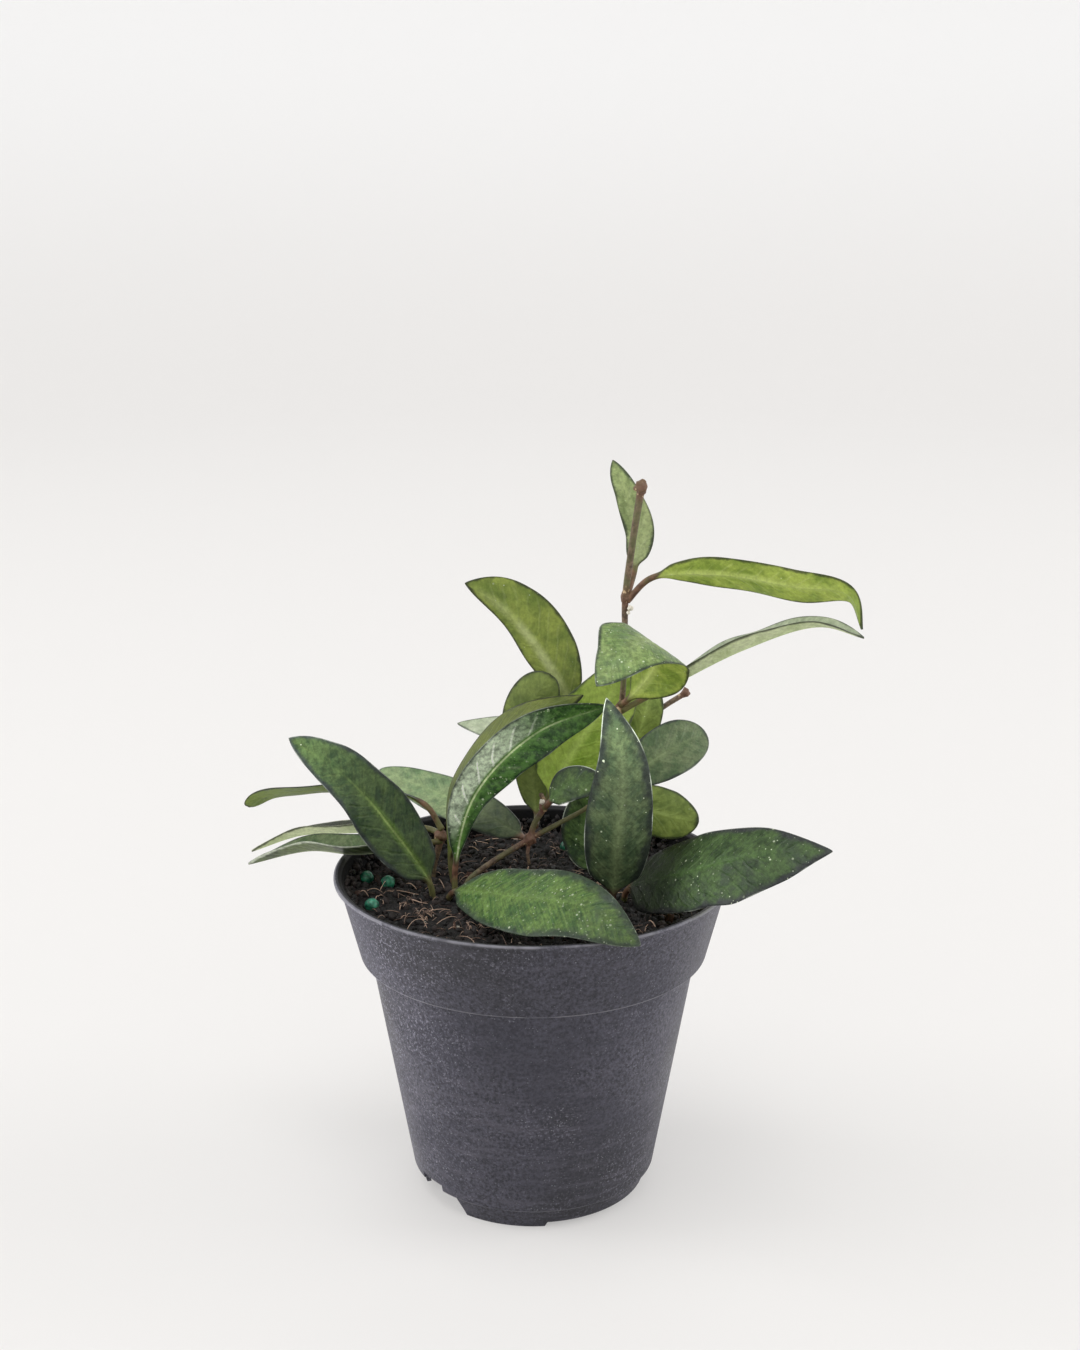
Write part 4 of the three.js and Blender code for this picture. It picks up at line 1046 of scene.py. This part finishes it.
def add_banked_crumbs(material):
    """Crumbs that cling to the pot's wall above the soil, fewer the higher they are"""
    foot = SOIL_LEVEL - 0.6
    parts = []
    for _ in range(BANKED_CRUMBS):
        angle = rng.random() * 2 * np.pi
        z = foot + (BANK_TOP - foot) * rng.random() ** 1.3
        radius = 0.3 + 0.8 * rng.random() ** 2
        spread = 1.2 * (BANK_TOP - z) / (BANK_TOP - SOIL_LEVEL)
        away = inside_radius(z) - 0.5 * radius - spread * rng.random()
        centre = (away * math.cos(angle), away * math.sin(angle), z)
        parts.append(lump(centre, radius, 1, 0.9, spin=random_spin()))
    add_toned("banked_crumbs", parts, rng.random(BANKED_CRUMBS), material)


def fibre_points(x, y, tufted):
    """Points of a fibre that runs over the soil from a place on, and its length"""
    last = FIBRE_POINTS - 1
    heading = rng.random() * 2 * np.pi
    curl = rng.normal() * (0.25 if tufted else 0.06)
    length = (1.2 + 2.6 * rng.random()) if tufted else (1.5 + 7 * rng.random() ** 2.5)
    height = 0.3 + 1.2 * rng.random() ** 2
    rise = rng.random() * (1.6 if tufted else 0.9)
    points = []
    for i in range(FIBRE_POINTS):
        hump = height * math.sin(math.pi * (i + 0.4) / (last + 0.8)) + rise * i / last
        away = math.hypot(x, y)
        if away > SOIL_EDGE:
            x, y = x * SOIL_EDGE / away, y * SOIL_EDGE / away
        points.append((x, y, soil_height(x, y) + 0.35 + hump))
        x += length / last * math.cos(heading) + rng.normal() * 0.02
        y += length / last * math.sin(heading) + rng.normal() * 0.02
        heading += curl + rng.normal() * 0.08
    return points, length


def add_fibres(material):
    """Coir fibres: thin threads that lie on the soil, short and dense in a few tufts"""
    xs, ys = scattered(FIBRES)
    in_tufts = 0
    for x, y, spread_x, spread_y, count in TUFTS:
        chosen = slice(in_tufts, in_tufts + count)
        xs[chosen] = x + spread_x * rng.normal(size=count)
        ys[chosen] = y + spread_y * rng.normal(size=count)
        in_tufts += count
    parts, tones = [], []
    for number, (x, y) in enumerate(zip(xs, ys)):
        tufted = number < in_tufts
        points, length = fibre_points(x, y, tufted)
        radius = 0.06 + 0.08 * rng.random() ** 2
        radii = [radius] * (FIBRE_POINTS - 1) + [radius * 0.4]
        parts.append(tube(points, radii, 4, (0.1, 0.2, 0.97), length / 8))
        tones.append(0.1 + 0.7 * rng.random() ** 1.7 if tufted else rng.random() ** 1.9)
    add_toned("coir_fibres", parts, tones, material)


def rounded(profile):
    """A closed profile of (radius, height, corner radius) with its corners as arcs"""
    points = []
    for i, (r, z, corner) in enumerate(profile):
        here = np.array((r, z), float)
        if corner == 0:
            points.append(tuple(here))
            continue
        back = np.array(profile[i - 1][:2], float) - here
        ahead = np.array(profile[(i + 1) % len(profile)][:2], float) - here
        back_unit, ahead_unit = back / np.linalg.norm(back), ahead / np.linalg.norm(ahead)
        turn = math.acos(np.clip(back_unit @ ahead_unit, -1, 1))
        reach = min(corner / math.tan(turn / 2), 0.45 * np.linalg.norm(back), 0.45 * np.linalg.norm(ahead))
        begin, end = here + back_unit * reach, here + ahead_unit * reach
        for step in range(CORNER_STEPS + 1):
            w = step / CORNER_STEPS
            point = begin * (1 - w) ** 2 + here * 2 * w * (1 - w) + end * w ** 2
            points.append(tuple(point))
    return points


def sector_block(name, span, top, slope=0, inner=CUT_INNER_RADIUS, bottom=CUT_BOTTOM):
    """A block over part of a ring, between two angles in degrees from the front towards +X.

    Its underside is wider by a slope in degrees at each end.
    """
    vertices = []
    for z, wider in ((bottom, slope), (top, 0)):
        angles = np.radians(np.linspace(span[0] - wider, span[1] + wider, CUT_STEPS + 1))
        vertices += [(CUT_OUTER_RADIUS * math.sin(a), -CUT_OUTER_RADIUS * math.cos(a), z) for a in angles]
        vertices += [(inner * math.sin(a), -inner * math.cos(a), z) for a in angles[::-1]]
    count = len(vertices) // 2
    faces = [(i, (i + 1) % count, (i + 1) % count + count, i + count) for i in range(count)]
    faces += [tuple(range(count - 1, -1, -1)), tuple(range(count, 2 * count))]
    return add_object(name, closed_mesh(name, vertices, faces))


def add_pot(material):
    """The pot as a turned shell with soft edges, its foot ring cut back and its drain slots cut through"""
    lip = POT_HEIGHT - RIM_LIP_DEPTH
    shelf = BAND_BOTTOM + WALL
    profile = rounded([
        (0.01, FLOOR_UNDERSIDE, 0),
        (FOOT_INNER_RADIUS + 1.4, FLOOR_UNDERSIDE, 0),
        (FOOT_INNER_RADIUS, 0, 0.25),
        (FOOT_BOTTOM_RADIUS, 0, 0.3),
        (FOOT_TOP_RADIUS, FOOT_TOP, 0.3),
        (BODY_BOTTOM_RADIUS, FOOT_TOP, 0.5),
        (BODY_TOP_RADIUS, BAND_BOTTOM, 0.5),
        (BAND_BOTTOM_RADIUS, BAND_BOTTOM, 0.6),
        (BAND_TOP_RADIUS, lip, 0.5),
        (RIM_RADIUS, lip, 0.35),
        (RIM_RADIUS, POT_HEIGHT, 0.6),
        (RIM_INNER_RADIUS, POT_HEIGHT, 0.5),
        (BAND_TOP_RADIUS - WALL, lip, 0.5),
        (BAND_BOTTOM_RADIUS - WALL, shelf, 0.4),
        (BODY_TOP_RADIUS - WALL, shelf, 0.4),
        (BODY_BOTTOM_RADIUS - WALL, FLOOR_TOP, 0.4),
        (0.01, FLOOR_TOP, 0),
    ])
    faces = capped_rings(len(profile), POT_SIDES)
    pot = add_piece("pot_shell", turned(profile, POT_SIDES), faces, [material], ["pot"])
    blocks = [sector_block("short_foot", span, FOOT_RELIEF, RELIEF_SLOPE) for span in SHORT_FOOT]
    for span in DRAIN_NOTCHES:
        middle = (span[0] + span[1]) / 2
        slot = (middle - DRAIN_SLOT_HALF_ANGLE, middle + DRAIN_SLOT_HALF_ANGLE)
        blocks.append(sector_block("drain_notch", span, DRAIN_NOTCH_TOP, NOTCH_SLOPE))
        blocks.append(sector_block("drain_slot", slot, DRAIN_SLOT_TOP, inner=DRAIN_SLOT_INNER_RADIUS,
                                   bottom=DRAIN_SLOT_BOTTOM))
    for block in blocks:
        cut = pot.modifiers.new("cut", "BOOLEAN")
        cut.operation = "DIFFERENCE"
        cut.solver = "EXACT"
        cut.object = block
    apply_modifiers(pot)
    for block in blocks:
        bpy.data.objects.remove(block, do_unlink=True)
    pot.data.set_sharp_from_angle(angle=math.radians(SHARP_ANGLE))


def add_beads(material):
    """The coated granules, each a slightly uneven ball"""
    for number, (x, y) in enumerate(BEADS, 1):
        centre = (x, y, soil_height(x, y) + BEAD_LIFT)
        vertices, faces = lump(centre, BEAD_RADIUS, 4, 0.06)
        add_piece(f"granule_{number}", vertices, faces, [material],
                  [f"fertiliser_bead_{number}"])


def add_sap(material):
    """Drops of dried sap on the stems"""
    parts = [lump(drop[:3], drop[3], 3, 0.4) for drop in SAP_DROPS]
    vertices, faces, _ = merged(parts)
    add_piece("sap_drops", vertices, faces, [material])


def add_camera():
    lens = bpy.data.cameras.new("photo_camera")
    lens.lens = CAMERA_LENS
    lens.sensor_width = CAMERA_SENSOR
    camera = add_object("photo_camera", lens)
    camera.location = Vector(CAMERA_AT) * METRES
    camera.rotation_euler = Vector(CAMERA_LOOKS).to_track_quat("-Z", "Y").to_euler()
    bpy.context.scene.camera = camera


def add_light(name, place, size, power):
    """A soft square light in metres that looks at the plant's middle"""
    lamp = bpy.data.lights.new(name, "AREA")
    lamp.shape = "SQUARE"
    lamp.size = size
    lamp.energy = power
    light = add_object(name, lamp)
    light.location = place
    middle = Vector((0, 0, 0.1))
    light.rotation_euler = (middle - Vector(place)).to_track_quat("-Z", "Y").to_euler()


def add_floor():
    """A pale floor that rises all round into a pale wall; its sizes are in metres"""
    wide, curve, top, sides = 2.2, 0.6, 2.6, 96
    profile = [(0.001, 0), (0.5, 0), (1.2, 0), (wide - curve, 0)]
    profile += [(wide - curve + curve * math.sin(a), curve - curve * math.cos(a))
                for a in np.linspace(0.15, math.pi / 2, 12)]
    profile.append((wide, top))
    mesh = bpy.data.meshes.new("studio_floor")
    mesh.from_pydata(turned(profile, sides), [], ring_faces(len(profile), sides))
    shade_smooth(mesh)
    shader = Shader("studio floor")
    colour = shader.mix(shader.smooth(shader.coordinate("Z"), 20, 450), (176, 174, 172), (190, 190, 190))
    # A glow of its own keeps its shadows light
    glow = dict(Emission_Color=(1, 0.99, 0.98, 1), Emission_Strength=0.4)
    mesh.materials.append(shader.finish(colour, 0.9, **glow))
    floor = add_object("studio_floor", mesh)


def add_studio():
    """The floor, soft lights and a pale sky"""
    add_floor()
    add_light("top_light", (-0.25, -0.45, 2.0), 1.3, 16)
    add_light("left_light", (-1.7, 0.1, 0.9), 1.0, 9.5)
    add_light("right_light", (1.7, 0.1, 0.9), 1.0, 9.5)
    add_light("back_light", (0.3, 1.6, 1.5), 1.0, 2.6)
    world = bpy.data.worlds.new("studio_sky")
    world.use_nodes = True
    sky = world.node_tree.nodes["Background"]
    sky.inputs["Color"].default_value = (0.97, 0.98, 1, 1)
    sky.inputs["Strength"].default_value = 0.28
    bpy.context.scene.world = world
    bpy.context.scene.view_settings.view_transform = "Standard"


def build():
    add_camera()
    add_studio()
    add_pot(pot_material())
    add_soil(soil_material())
    crumb = toned_material("soil crumbs", (6, 5, 5), (36, 25, 22), 0.7)
    add_bits("soil_crumbs", CRUMBS, (0.25, 1.3), crumb)
    add_banked_crumbs(crumb)
    bark = toned_material("bark bits", (24, 16, 14), (86, 58, 46), 0.7)
    add_bits("bark_bits", BARK_BITS, (0.8, 2.2), bark, (1, 0.55, 0.3), 2, 0.6)
    perlite = toned_material("perlite bits", (150, 142, 130), (222, 216, 204), 0.8)
    add_bits("perlite_bits", PERLITE_BITS, (0.2, 0.7), perlite, (1, 1, 0.8), 2, 0.5)
    add_fibres(toned_material("coir", (48, 27, 23), (224, 190, 166), 0.6, 0.00005))
    add_beads(bead_material())
    bark_skin = stem_material()
    for stem in STEMS:
        add_stem(stem, bark_skin)
    add_sap(sap_material())
    skins = {name: leaf_material(name, look) for name, look in LOOKS.items()}
    for number, leaf in enumerate(LEAVES):
        add_leaf(leaf, number, skins)


build()
